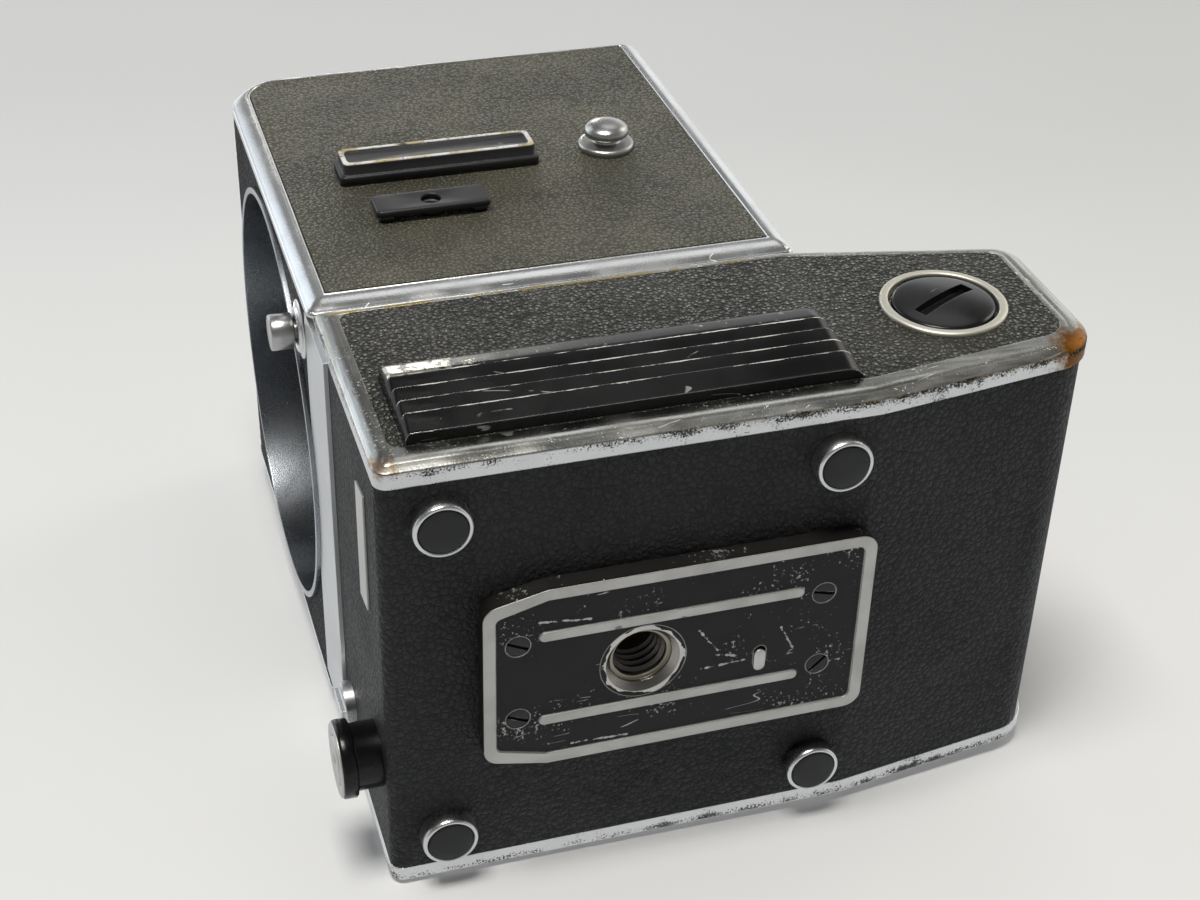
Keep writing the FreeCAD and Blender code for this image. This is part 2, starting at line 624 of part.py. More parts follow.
def plateOutline(inset, low, high):
    """The tripod plate's outline, narrowed towards the front, drawn in by inset."""
    half = plateWidth / 2 - inset
    nose = plateNoseWidth / 2 - inset
    corners = [
        (-nose, inset - plateFront),
        (nose, inset - plateFront),
        (half, -plateShoulder),
        (half, plateRear - inset),
        (-half, plateRear - inset),
        (-half, -plateShoulder),
    ]
    body = prism("Z", corners, low, high)
    for corner in (corners[0], corners[1], corners[3], corners[4]):
        soften(body, plateCorner - inset * 0.8, alongZ(*corner))
    return body


def floorAt(y):
    """Height of the housing's inner floor on its tapered tail."""
    return leather + baseWall + (y - taperY) * (tailRise / taperRun)


housingBlock = baseOutline(leather, -halfHousing, halfHousing, False)
cavity = baseOutline(leather + baseWall, -halfHousing - 1, halfHousing + 1, True)
gearY = (frontY + gearSetback, frontY + gearSetback + gearWidth)
gearSlotY = (gearY[0] - 1, gearY[1] + 1)
idlerHeight = shaftHeight - gearModule * (shaftTeeth + idlerTeeth) / 2
pinionHeight = idlerHeight - gearModule * (idlerTeeth + pinionTeeth) / 2
bushingDepth = pinionHeight - motorRadius - bushingClearance
slotHalf = gearModule * (idlerTeeth / 2)
gearSlot = box((-slotHalf, slotHalf), gearSlotY, (deckZ - baseWall - 1, floorZ + 1))
bushingHole = rod("Z", bushingRadius, -1, bushingDepth, 0, 0)
releaseX = -releaseOffset
lockX = -lockOffset
coinY = frontY + coinSetback
dialY = frontY + dialSetback
housingWallY = frontY + leather + baseWall

releaseHole = rod("Y", releaseStem + slideGap, frontY - 1, housingWallY + 1, releaseX, releaseHeight)
lockHole = rod("Y", releaseStem + runningGap, frontY - 1, housingWallY + 1, lockX, lockHeight)
plateScrewSpots = [
    (side * plateScrewOffset, y) for side in (-1, 1) for y in (-plateScrewFront, plateScrewRear)
]
screwFloor = plateScrewLength - footPadDrop
housingScrewHoles = [rod("Z", plateScrewShank, -1, screwFloor, x, y) for x, y in plateScrewSpots]
housingTools = [cavity, gearSlot, bushingHole, releaseHole, lockHole] + housingScrewHoles
piece("motor_housing", cut(housingBlock, *housingTools))

coverBlock = baseOutline(0, -halfHousing, halfHousing, False)
coverInner = baseOutline(leather, -halfHousing - 1, halfHousing + 1, False)
underBody = box((-halfHousing - 1, halfHousing + 1), (frontY - 1, upperRearY + coveringGap),
                (bandLow, baseHeight + 1))
plateWindow = plateOutline(0, -1, leather + 1)
releaseWindow = rod("Y", releaseBarrelRadius, frontY - 1, frontY + leather + 0.1, releaseX, releaseHeight)
lockWindow = rod("Y", lockRadius, frontY - 1, frontY + leather + 0.1, lockX, lockHeight)
coveringTools = [coverInner, underBody, plateWindow, releaseWindow, lockWindow]
piece("base_leathercloth", cut(coverBlock, *coveringTools))

bandPlate = box((-halfHousing, halfHousing), (frontY, frontY + leather), (bandLow, baseHeight))
bandUpper = box((-halfHousing, halfHousing), (frontY - leather, frontY), (bandLow, bandTop))
mountClear = rod("Y", mountRadius, frontY - mountProud - 1, shellFrontY + 1, 0, lensAxisHeight)
piece("front_band", cut(join(bandPlate, bandUpper), mountClear))

stripX = (stripLeft, stripLeft + stripLength)
stripCorners = [
    (stripX[0] + stripSlant, stripLow),
    (stripX[1] + stripSlant, stripLow),
    (stripX[1], stripLow + stripHeight),
    (stripX[0], stripLow + stripHeight),
]
piece("front_strip", prism("Y", stripCorners, frontY - stripRise, frontY))


# Side covers of the motor base

def sideCover(side, name, holes):
    """A thick cover with a rounded rim and a recess for its leathercloth."""
    span = mirrored((halfHousing, halfBase), side)
    face = side * halfBase
    cover = baseOutline(0, span[0], span[1], False)
    soften(cover, coverRound, onX(face))
    deep = mirrored((halfBase - leather, halfBase + 1), side)
    return piece(name, cut(cover, panel(deep), *holes))


def panel(span):
    """The outline of a cover's leathercloth between two X levels."""
    slopeBottom = tailRise / taperRun
    slopeTop = tailDrop / taperRun
    front = frontY + panelFront
    rear = rearY - panelRear
    tail = rear - taperY
    corners = [
        (front, panelLow),
        (taperY, panelLow),
        (rear, panelLow + slopeBottom * tail),
        (rear, baseHeight - panelTop - slopeTop * tail),
        (taperY, baseHeight - panelTop),
        (front, baseHeight - panelTop),
    ]
    body = prism("X", corners, span[0], span[1])
    soften(body, panelRadius, lambda edge: alongX(*corners[0])(edge) or alongX(*corners[5])(edge)
           or alongX(*corners[3])(edge))
    soften(body, tailLowRadius - panelRear, alongX(*corners[2]))
    return body


coinHole = rod("X", coinShaft + runningGap, halfHousing - 1, halfBase + 1, coinY, coinHeight)
coinSeat = rod("X", coinRingRadius - coinRingWall, halfBase - leather - 1, halfBase + 1, coinY, coinHeight)
dialHole = rod("X", dialShaft + runningGap, -halfBase - 1, -halfHousing + 1, dialY, dialHeight)
sideCover(1, "battery_cover", [coinHole, coinSeat])
sideCover(-1, "right_cover", [dialHole])

skinLeft = (halfBase - leather, halfBase)
skinRight = (-halfBase, leather - halfBase)
gripY = (frontY + gripFront, frontY + gripFront + gripLength)
gripTop = gripLow + gripRibs * ribPitch + gripBrow
gripWindow = box((halfBase - 2, halfBase + 2), gripY, (gripLow, gripTop))
coinWindow = rod("X", coinRingRadius, halfBase - 2, halfBase + 2, coinY, coinHeight)
piece("battery_cover_leathercloth", cut(panel(skinLeft), gripWindow, coinWindow))
dialWindow = rod("X", dialPlateRadius, -halfBase - 2, -halfBase + 2, dialY, dialHeight)
piece("right_cover_leathercloth", cut(panel(skinRight), dialWindow))


# Ribbed grip: a rounded brow, and below it ribs that each fall back from a crest to the next foot

def gripProfile():
    outer = halfBase + gripProud
    skin = halfBase - leather
    corners = [(skin, gripLow)]
    for index in range(gripRibs):
        low = gripLow + index * ribPitch
        corners.append((outer - ribDepth, low))
        corners.append((outer, low + ribPitch))
    browLow = gripTop - gripBrow
    for degrees in (30, 60):
        angle = math.radians(degrees)
        corners.append((skin + (outer - skin) * math.cos(angle), browLow + gripBrow * math.sin(angle)))
    corners.append((skin, gripTop))
    return corners


gripCorners = [
    (gripY[0], gripLow - 1),
    (gripY[1], gripLow - 1),
    (gripY[1], gripTop),
    (gripY[0], gripTop),
]
gripEnds = prism("X", gripCorners, halfBase - leather - 1, halfBase + gripProud + 1)
soften(gripEnds, gripCorner, lambda edge: alongX(*gripCorners[2])(edge) or alongX(*gripCorners[3])(edge))
piece("ribbed_grip", common(prism("Y", gripProfile(), gripY[0], gripY[1]), gripEnds))

# Cover lock, turned with a coin
lockFace = halfBase + coinRingRise
ringOuter = rod("X", coinRingRadius, halfBase - leather, lockFace, coinY, coinHeight)
ringInner = rod("X", coinRingRadius - coinRingWall, halfBase - leather - 1, lockFace + 1, coinY, coinHeight)
piece("cover_lock_ring", cut(ringOuter, ringInner))
discRadius = coinRingRadius - coinRingWall - discGap
disc = rod("X", discRadius, halfBase - leather - 1, halfBase + coinRim, coinY, coinHeight)
discCrown = cone("X", discRadius, coinCrown, halfBase + coinRim, lockFace, coinY, coinHeight)
coinStem = rod("X", coinShaft, halfBase - coinReach, halfBase, coinY, coinHeight)
slotX = (halfBase + coinRingRise - coinSlotDepth, halfBase + coinRingRise + 1)
slotRun = math.cos(math.radians(coinTilt)) / 2
slotLift = math.sin(math.radians(coinTilt)) / 2
slotY = coinY - coinSlotLength * slotRun + coinSlotWidth * slotLift
slotZ = coinHeight - coinSlotLength * slotLift - coinSlotWidth * slotRun
slotTool = box(slotX, (slotY, slotY + coinSlotLength), (slotZ, slotZ + coinSlotWidth))
slotTool.Placement.Rotation = FreeCAD.Rotation(FreeCAD.Vector(1, 0, 0), coinTilt)
piece("cover_lock_screw", cut(join(disc, discCrown, coinStem), slotTool))

# Mode dial on the right cover
dialFace = -halfBase - dialRise
scaleOuter = rod("X", dialPlateRadius, -halfBase - dialPlateRise, -halfBase + leather, dialY, dialHeight)
scaleInner = rod("X", dialShaft + runningGap, -halfBase - 2, -halfBase + 2, dialY, dialHeight)
piece("mode_scale_plate", cut(scaleOuter, scaleInner))
knobLow = -halfBase - dialPlateRise - dialGap
knobBase = rod("X", dialRadius, knobLow - (dialRise - dialPlateRise) / 2, knobLow, dialY, dialHeight)
knobBar = box(
    (dialFace, knobLow),
    (dialY - dialBarWidth / 2, dialY + dialBarWidth / 2),
    (dialHeight - dialBarHalf, dialHeight + dialBarHalf),
)
knobStem = rod("X", dialShaft, knobLow - dialGap, dialStemReach - halfBase, dialY, dialHeight)
piece("mode_dial", join(knobBase, knobBar, knobStem))
switchX = (-halfHousing, switchDepth - halfHousing)
switchBlock = box(switchX, (dialY - switchHalf, dialY + switchHalf),
                  (dialHeight - switchHalf, dialHeight + switchHalf))
switchHole = rod("X", dialShaft + runningGap, switchX[0] - 1, switchX[1] + 1, dialY, dialHeight)
modeSwitch = cut(switchBlock, switchHole)

# Underside: feet, tripod plate, bushing and screws
footSpots = [
    (side * footSpacing / 2, frontY + footFront + row * footPitch) for side in (-1, 1) for row in (0, 1)
]
cups = []
pads = []
for x, y in footSpots:
    cup = join(
        cone("Z", footLip, footRadius, -footCupDrop, footLipRise - footCupDrop, x, y),
        rod("Z", footRadius, footLipRise - footCupDrop, 0, x, y),
    )
    cups.append(cut(cup, rod("Z", footPadRadius, -footCupDrop - 1, -footPadSeat, x, y)))
    pads.append(rod("Z", footPadRadius, -footPadDrop, -footPadSeat, x, y))
piece("foot_cups", group(*cups))
piece("foot_pads", group(*pads))

stripes = []
for side in (-1, 1):
    x = side * stripeOffset
    stripes.append(box((x - stripeWidth / 2, x + stripeWidth / 2), (-stripeFront, stripeRear),
                       (-footPadDrop, -footPadDrop + plateRecess)))
    stripes.append(rod("Z", stripeWidth / 2, -footPadDrop, -footPadDrop + plateRecess, x, -stripeFront))
    stripes.append(rod("Z", stripeWidth / 2, -footPadDrop, -footPadDrop + plateRecess, x, stripeRear))
field = plateOutline(plateBorder, -footPadDrop - 1, -footPadDrop + plateRecess)
plateHoles = [rod("Z", bushingRadius, -footPadDrop - 1, leather + 1, 0, 0)]
twistZ = (-footPadDrop - 1, -footPadDrop + twistDepth)
for side in (-1, 1):
    twistX = side * twistHalf - twistOffset
    plateHoles.append(rod("Z", twistRadius, twistZ[0], twistZ[1], twistX, twistSetback))
plateHoles.append(box((-twistHalf - twistOffset, twistHalf - twistOffset),
                      (twistSetback - twistRadius, twistSetback + twistRadius), twistZ))
for x, y in plateScrewSpots:
    plateHoles.append(rod("Z", plateScrewRadius, -footPadDrop - 1, plateScrewSeat - footPadDrop, x, y))
    plateHoles.append(rod("Z", plateScrewShank, -footPadDrop, leather + 1, x, y))
plateBlock = cut(plateOutline(0, -footPadDrop, leather), field)
piece("tripod_plate", cut(join(plateBlock, *stripes), *plateHoles))

plateScrews = []
for x, y in plateScrewSpots:
    head = rod("Z", plateScrewRadius, -footPadDrop + plateRecess, plateScrewSeat - footPadDrop, x, y)
    shank = rod("Z", plateScrewShank, -footPadDrop + 1, screwFloor, x, y)
    slotBox = box((x - plateScrewRadius, x + plateScrewRadius),
                  (y - plateScrewSlot / 2, y + plateScrewSlot / 2),
                  (-footPadDrop, plateRecess + plateScrewSlotDepth - footPadDrop))
    plateScrews.append(cut(join(head, shank), slotBox))
piece("tripod_plate_screws", group(*plateScrews))

bushing = rod("Z", bushingRadius, -footPadDrop, bushingDepth, 0, 0)
threadBore = rod("Z", socketRadius, -footPadDrop - 1, bushingDepth - bushingCap, 0, 0)
mouth = cone("Z", socketMouth, socketRadius, -footPadDrop, -footPadDrop + socketMouthDepth, 0, 0)
piece("tripod_bushing", cut(bushing, threadBore, mouth))

# Shutter release on the front of the base
barrelFace = frontY - releaseBarrelLength
collarFace = barrelFace - releaseCollarLength
buttonFace = collarFace - releaseButtonRise
barrel = rod("Y", releaseBarrelRadius, barrelFace, frontY + leather, releaseX, releaseHeight)
collar = rod("Y", releaseCollarRadius, collarFace, barrelFace, releaseX, releaseHeight)
wellRadius = releaseButtonRadius + slideGap
buttonWell = rod("Y", wellRadius, collarFace - 1, barrelFace + releaseWell, releaseX, releaseHeight)
stemHole = rod("Y", releaseStem + slideGap, collarFace - 1, frontY + leather + 1, releaseX, releaseHeight)
piece("release_barrel", cut(join(barrel, collar), buttonWell, stemHole))
buttonHead = rod("Y", releaseButtonRadius, buttonFace, barrelFace, releaseX, releaseHeight)
stemEndY = housingWallY + releaseStemEnd
buttonStem = rod("Y", releaseStem, barrelFace - 1, stemEndY, releaseX, releaseHeight)
cableHole = rod("Y", cableSocket, buttonFace - 1, buttonFace + cableSocketDepth, releaseX, releaseHeight)
piece("release_button", cut(join(buttonHead, buttonStem), cableHole))
annulusRadius = releaseCollarRadius - releaseRingInset
annulus = rod("Y", annulusRadius, collarFace - releaseRingRise, collarFace, releaseX, releaseHeight)
annulusHole = rod("Y", wellRadius, collarFace - 1, collarFace + 1, releaseX, releaseHeight)
piece("release_ring", cut(annulus, annulusHole))
contactX = (releaseX - contactHalf, releaseX + contactHalf)
contactFaceY = stemEndY + releaseTravel + contactGap
contactY = (contactFaceY, contactFaceY + contactSheet)
contactTop = releaseHeight + contactHalf + contactSheet
contactFoot = box(contactX, (housingWallY, contactY[1]), (releaseHeight + contactHalf, contactTop))
contactLeaf = box(contactX, contactY, (releaseHeight - releaseStem, contactTop))
piece("switches", group(modeSwitch, join(contactFoot, contactLeaf)))

lockDisc = rod("Y", lockRadius - slideGap, frontY - lockRise, frontY + leather, lockX, lockHeight)
lockStem = rod("Y", releaseStem, frontY, housingWallY + 1, lockX, lockHeight)
lockLever = box((lockX - lockLeverWidth / 2, lockX + lockLeverWidth / 2),
                (frontY - lockRise - lockLeverRise, frontY - lockRise),
                (lockHeight - lockLeverHalf, lockHeight + lockLeverHalf))
piece("release_lock", join(lockDisc, lockStem, lockLever))

# Upper body shell, front plate, rear plate and top plate
shellBlock = box((-halfShell, halfShell), (shellFrontY, shellRearY), (deckZ, topZ - topPlateThickness))
roomHalf = halfShell - shellWall
shellRoom = box((-roomHalf, roomHalf), (shellFrontY - 1, shellRearY + 1), (floorZ, topZ))
shellGearSlot = box((-slotHalf, slotHalf), gearSlotY, (deckZ - 1, floorZ + 1))
coverClear = [
    box(mirrored((halfHousing, halfShell + 1), side), (frontY - 1, shellRearY + 1),
        (deckZ - 1, baseHeight + slideGap))
    for side in (-1, 1)
]
sleeveSeat = rod("Y", mountRadius, shellFrontY - 1, flangeRearY, 0, lensAxisHeight)
piece("body_shell", cut(shellBlock, shellRoom, shellGearSlot, sleeveSeat, *coverClear))

releaseLensX = lensReleaseOffset
frontBlock = box((-halfShell, halfShell), (frontY, shellFrontY), (deckZ, topZ))
frontLow = box((-halfShell - 1, halfShell + 1), (frontY - 1, frontY + leather), (deckZ - 1, baseHeight))
lensStemBore = lensReleaseStem + slideGap
lensStemHole = rod("Y", lensStemBore, frontY - 1, shellFrontY + 1, releaseLensX, lensReleaseHeight)
piece("front_plate", cut(frontBlock, mountClear, frontLow, lensStemHole, *coverClear))

skinY = (frontY - leather, frontY)
frontSkin = box((-halfShell, halfShell), skinY, (bandTop, topZ))
lensSeatWindow = rod("Y", lensReleaseSeat, frontY - 2, frontY + 1, releaseLensX, lensReleaseHeight)
piece("front_leathercloth", cut(frontSkin, mountClear, lensSeatWindow))

gateHole = box((-gateHalf, gateHalf), (shellRearY - 1, upperRearY + 1),
               (lensAxisHeight - gateHalf, lensAxisHeight + gateHalf))
rearBlock = box((-halfShell, halfShell), (shellRearY, upperRearY), (baseHeight, topZ))
shaftHole = rod("Y", shaftRadius + runningGap, shellRearY - 1, upperRearY + 1, 0, shaftHeight)
piece("rear_plate", cut(rearBlock, gateHole, shaftHole))

screenHalf = screenSize / 2
screenRearY = pivotY - screenSetback - screenFrameWidth
screenY = (screenRearY - screenSize, screenRearY)
screenMid = (screenY[0] + screenY[1]) / 2
topLow = topZ - topPlateThickness
topBlock = box((-halfShell, halfShell), (shellFrontY, shellRearY), (topLow, topZ))
screenOuterHalf = screenHalf + screenFrameWidth
screenOuterX = (-screenOuterHalf, screenOuterHalf)
screenOuterY = (screenMid - screenOuterHalf, screenMid + screenOuterHalf)
topHole = box(screenOuterX, screenOuterY, (topLow - 1, topZ + 1))
screenFrameBlock = box(screenOuterX, screenOuterY, (topLow - screenFrameDrop, topZ - screenFrameSink))
screenWell = box((-screenHalf, screenHalf), screenY, (topLow, topZ))
screenWindow = box((screenLedge - screenHalf, screenHalf - screenLedge),
                   (screenY[0] + screenLedge, screenY[1] - screenLedge),
                   (topLow - 2, topZ))
piece("screen_frame", cut(screenFrameBlock, screenWell, screenWindow))
piece("focusing_screen", box((-screenHalf + screenClear, screenHalf - screenClear),
                             (screenY[0] + screenClear, screenY[1] - screenClear),
                             (topLow, topLow + screenThickness)))
railInner = halfShell - railWidth
railY = (shellFrontY + railFront, shellRearY)
rails = [box(mirrored((railInner, halfShell), side), railY, (topZ, topZ + railHeight)) for side in (-1, 1)]
piece("top_plate", join(cut(topBlock, topHole), *rails))


# Side frames of the upper body and their leathercloth

def frameOutline(insets, radii, span):
    """The side frame's outline. Insets are front, rear, low and top; radii are brow and heel."""
    front = upperFrontY + insets[0]
    rear = upperRearY - insets[1]
    low = frameLowZ + insets[2]
    top = upperTop - insets[3]
    corners = [(front, low), (rear, low), (rear, top), (front, top)]
    body = prism("X", corners, span[0], span[1])
    soften(body, radii[0], alongX(*corners[3]))
    if radii[1] is not None:
        soften(body, radii[1], lambda edge: any(alongX(*corner)(edge) for corner in corners[:3]))
    return body


panelInsets = (frameFront, frameRear, frameLow, frameTop)
browInner = browRadius - frameFront
for side, word in ((1, "left"), (-1, "right")):
    span = mirrored((halfShell, halfUpper), side)
    outline = frameOutline((0, 0, 0, 0), (browRadius, heelRadius), span)
    soften(outline, frameRound, onX(side * halfUpper))
    deep = mirrored((halfUpper - leather, halfUpper + 1), side)
    recess = frameOutline(panelInsets, (browInner, None), deep)
    piece(word + "_side_frame", cut(outline, recess))
    skin = frameOutline(panelInsets, (browInner, None), mirrored((halfUpper - leather, halfUpper), side))
    piece(word + "_leathercloth", skin)

# Lens mount: sleeve, bayonet flange and its screws
sleeve = rod("Y", mountRadius, mountFrontY, flangeRearY, 0, lensAxisHeight)
sleeveBore = rod("Y", mountRadius - mountWall, mountFrontY - 1, flangeRearY + 1, 0, lensAxisHeight)
piece("lens_mount_ring", cut(sleeve, sleeveBore))
flangeDisc = rod("Y", mountRadius - mountWall, flangeFrontY, flangeRearY, 0, lensAxisHeight)
throat = rod("Y", throatRadius, flangeFrontY - 1, flangeRearY + 1, 0, lensAxisHeight)
notches = []
notchReach = throatRadius + lugNotch
notchRing = rod("Y", notchReach, flangeFrontY - 1, flangeRearY + 1, 0, lensAxisHeight)
for turn in (90, 210, 330):
    bar = doc.addObject("Part::Box", "notch")
    bind(bar, "Length", notchReach + 1)
    bind(bar, "Width", lugWidth)
    bind(bar, "Height", flangeThickness + 4)
    bar.Placement = FreeCAD.Placement(FreeCAD.Vector(), FreeCAD.Rotation(FreeCAD.Vector(1, 0, 0), 90))
    offset = lugWidth / 2
    angle = math.radians(turn)
    spin = FreeCAD.Rotation(FreeCAD.Vector(0, 1, 0), -turn)
    bar.Placement.Rotation = spin.multiply(bar.Placement.Rotation)
    place(bar, offset * math.sin(angle), flangeRearY + 2, lensAxisHeight - offset * math.cos(angle))
    notches.append(bar)
notchTool = common(notchRing, join(*notches))
mountScrewStep = mountScrewCircle * math.cos(math.radians(45))
mountScrewSpots = [
    (side * mountScrewStep, lensAxisHeight + level * mountScrewStep) for side in (-1, 1) for level in (-1, 1)
]
screwHoles = [rod("Y", mountScrewShank, flangeFrontY - 1, flangeRearY + 1, x, z) for x, z in mountScrewSpots]
keyHole = rod("Y", shaftRadius + runningGap, flangeFrontY - 1, flangeRearY + 1, 0, shaftHeight)
piece("bayonet_flange", cut(flangeDisc, throat, notchTool, keyHole, *screwHoles))
mountScrews = []
for x, z in mountScrewSpots:
    head = rod("Y", mountScrewRadius, flangeFrontY - screwHeadRise, flangeFrontY, x, z)
    shank = rod("Y", mountScrewShank, flangeFrontY, flangeRearY, x, z)
    groove = box((x - mountScrewRadius, x + mountScrewRadius),
                 (flangeFrontY - screwHeadRise - 1, flangeFrontY - screwHeadRise / 2),
                 (z - mountScrewSlot / 2, z + mountScrewSlot / 2))
    mountScrews.append(cut(join(head, shank), groove))
piece("mount_screws", group(*mountScrews))

# Lens release
lensSeatFace = frontY - leather - lensSeatRise
lensSeatDisc = rod("Y", lensReleaseSeat, lensSeatFace, frontY, releaseLensX, lensReleaseHeight)
lensSeatBore = rod("Y", lensStemBore, lensSeatFace - 1, frontY + 1, releaseLensX, lensReleaseHeight)
piece("lens_release_seat", cut(lensSeatDisc, lensSeatBore, mountClear))
lensButtonFace = frontY - leather - lensReleaseProud
lensButtonBack = lensSeatFace - lensReleaseTravel - pressGap
lensHead = rod("Y", lensReleaseRadius, lensButtonFace, lensButtonBack, releaseLensX, lensReleaseHeight)
lensStem = rod("Y", lensReleaseStem, lensButtonBack - 1, shellFrontY + lensStemEnd,
               releaseLensX, lensReleaseHeight)
piece("lens_release_button", join(lensHead, lensStem))

# Mirror box with its hinge holes
boxOuter = chamberHalf + chamberWall
boxY = (flangeRearY + chamberGap, shellRearY)
boxTop = topLow - chamberDrop
mirrorBoxBlock = box((-boxOuter, boxOuter), boxY, (chamberFloor - chamberWall, boxTop))
mirrorRoom = box((-chamberHalf, chamberHalf), (boxY[0] - 1, boxY[1] + 1), (chamberFloor, boxTop + 1))
pinHoles = [
    rod("X", hingePinRadius, -boxOuter - 1, boxOuter + 1, pivotY, mirrorPivotHeight),
    rod("X", flapPinRadius, -boxOuter - 1, boxOuter + 1, flapY, flapTopHeight),
    rod("X", flapPinRadius, -boxOuter - 1, boxOuter + 1, flapY, flapLowHeight),
]
piece("mirror_box", cut(mirrorBoxBlock, mirrorRoom, *pinHoles))
mirrorPin = rod("X", hingePinRadius, -boxOuter, boxOuter, pivotY, mirrorPivotHeight)
flapHeights = (flapTopHeight, flapLowHeight)
flapPins = [rod("X", flapPinRadius, -boxOuter, boxOuter, flapY, height) for height in flapHeights]
piece("hinge_pins", group(mirrorPin, *flapPins))


# Reflex mirror, at forty-five degrees at rest

def tilted(thing, low, depth, x):
    """Seat a block that hangs from the mirror hinge, tilted down towards the front."""
    thing.Placement = FreeCAD.Placement(FreeCAD.Vector(), FreeCAD.Rotation(FreeCAD.Vector(1, 0, 0), 45))
    drop = math.cos(math.radians(45))
    return place(thing, x, pivotY - low * drop - depth * drop, mirrorPivotHeight - low * drop + depth * drop)


def mirrorBlock(width, run, low, thickness, depth):
    """A block lying in the mirror's plane. Low is its far end from the hinge, depth its offset behind it."""
    thing = doc.addObject("Part::Box", "leaf")
    bind(thing, "Length", width)
    bind(thing, "Width", run)
    bind(thing, "Height", thickness)
    return tilted(thing, low, depth, -width / 2)


hubRadius = hingePinRadius + knuckleWall
carrierDepth = hubOverlap - hubRadius
carrier = mirrorBlock(mirrorWidth, mirrorLength - 1, mirrorLength, carrierThickness, carrierDepth)
hub = rod("X", hubRadius, -mirrorWidth / 2, mirrorWidth / 2, pivotY, mirrorPivotHeight)
hubBore = rod("X", hingePinRadius + runningGap, -mirrorWidth, mirrorWidth, pivotY, mirrorPivotHeight)
piece("mirror_carrier", cut(join(carrier, hub), hubBore))
glassDepth = carrierDepth + carrierThickness
glassEdge = size("glassEdge", 1, "mirror glass inside the edge of its carrier")
glassRun = mirrorLength - glassEdge - hubRadius * 2
glassWidth = mirrorWidth - glassEdge * 2
piece("mirror_glass", mirrorBlock(glassWidth, glassRun, mirrorLength - glassEdge, mirrorGlass, glassDepth))


# Rear flaps that cover the film gate

def flap(name, height, tip):
    """A flap from its hinge height to the height of its tip."""
    low, high = (tip, height) if float(tip) < float(height) else (height, tip)
    leafY = (flapY - flapThickness / 2, flapY + flapThickness / 2)
    leaf = box((-flapWidth / 2, flapWidth / 2), leafY, (low, high))
    knuckle = rod("X", flapPinRadius + knuckleWall, -flapWidth / 2, flapWidth / 2, flapY, height)
    bore = rod("X", flapPinRadius + runningGap, -flapWidth, flapWidth, flapY, height)
    piece(name, cut(join(leaf, knuckle), bore))


flapMeet = (flapTopHeight + flapLowHeight) / 2
flap("upper_rear_flap", flapTopHeight, flapMeet + flapGap / 2)
flap("lower_rear_flap", flapLowHeight, flapMeet - flapGap / 2)

# Magazine hooks and studs on the rear plate
hooks = []
for side in (-1, 1):
    hookX = (side * hookOffset - hookWidth / 2, side * hookOffset + hookWidth / 2)
    hookY = (upperRearY + hookReach - hookSheet, upperRearY + hookReach)
    arm = box(hookX, (upperRearY, hookY[1]), (topZ - hookDrop, topZ - hookDrop + hookSheet))
    hooks.append(join(arm, box(hookX, hookY, (topZ - hookDrop, topZ - hookTip))))
studs = [rod("Y", studRadius, upperRearY, upperRearY + studReach, side * studOffset, frameLowZ + studRise)
         for side in (-1, 1)]
piece("magazine_catches", group(*hooks, *studs))


# Fittings on the sides: nameplate, accessory shoe, strap lugs
plateY = (frontY + nameplateFront, frontY + nameplateFront + nameplateLength)
nameplateLow = lensAxisHeight + nameplateRise
plateZ = (nameplateLow, nameplateLow + nameplateHeight)


def roundedBlock(x, y, z, radius):
    """A block with its four edges along X rounded."""
    corners = [(y[0], z[0]), (y[1], z[0]), (y[1], z[1]), (y[0], z[1])]
    body = prism("X", corners, x[0], x[1])
    return soften(body, radius, lambda edge: any(alongX(*corner)(edge) for corner in corners))


plateFoot = roundedBlock((halfUpper, halfUpper + nameplateFoot), plateY, plateZ, nameplateRound)
plateCap = roundedBlock((halfUpper + nameplateFoot, halfUpper + nameplateProud),
                        (plateY[0] + nameplateStep, plateY[1] - nameplateStep),
                        (plateZ[0] + nameplateStep, plateZ[1] - nameplateStep), nameplateRound)
piece("nameplate", join(plateFoot, plateCap))

shoeY = (frontY + shoeFront, frontY + shoeFront + shoeLength)
shoeBottom = lensAxisHeight - shoeDrop
shoeZ = (shoeBottom, shoeBottom + shoeHeight)
shoeTop = halfUpper + shoeProud
shoeMidY = (shoeY[0] + shoeY[1]) / 2
shoeMidZ = (shoeZ[0] + shoeZ[1]) / 2
shoeLow = shoeTop - shoePlate
shoeSides = (shoeZ[0] + shoeInset, shoeZ[1] - shoeInset)
shoeToeY = shoeY[0] + shoeInset
shoeHeelY = shoeY[1] - shoeInset
shoeLeaf = roundedBlock((shoeLow, shoeTop), shoeY, shoeZ, shoeCorner)
shoeFoot = rod("X", shoeBoss, halfUpper, shoeLow, shoeMidY, shoeMidZ)
shoeToe = box((halfUpper, shoeLow), (shoeToeY, shoeToeY + shoeFootLength), shoeSides)
shoeHeel = box((halfUpper, shoeLow), (shoeHeelY - shoeFootLength, shoeHeelY), shoeSides)
shoeBore = rod("X", shoeBorer, halfUpper - leather, shoeTop + 1, shoeMidY, shoeMidZ)
piece("accessory_shoe", cut(join(shoeLeaf, shoeFoot, shoeToe, shoeHeel), shoeBore))
shoeScrewTop = shoeLow - shoeScrewSink
shoeScrew = rod("X", shoeBorer - shoeScrewGap, halfUpper, shoeScrewTop, shoeMidY, shoeMidZ)
shoeScrewGroove = box((shoeScrewTop - shoeScrewSlot, shoeTop), (shoeMidY - shoeBorer, shoeMidY + shoeBorer),
                      (shoeMidZ - shoeScrewSlot / 2, shoeMidZ + shoeScrewSlot / 2))
piece("shoe_screw", cut(shoeScrew, shoeScrewGroove))

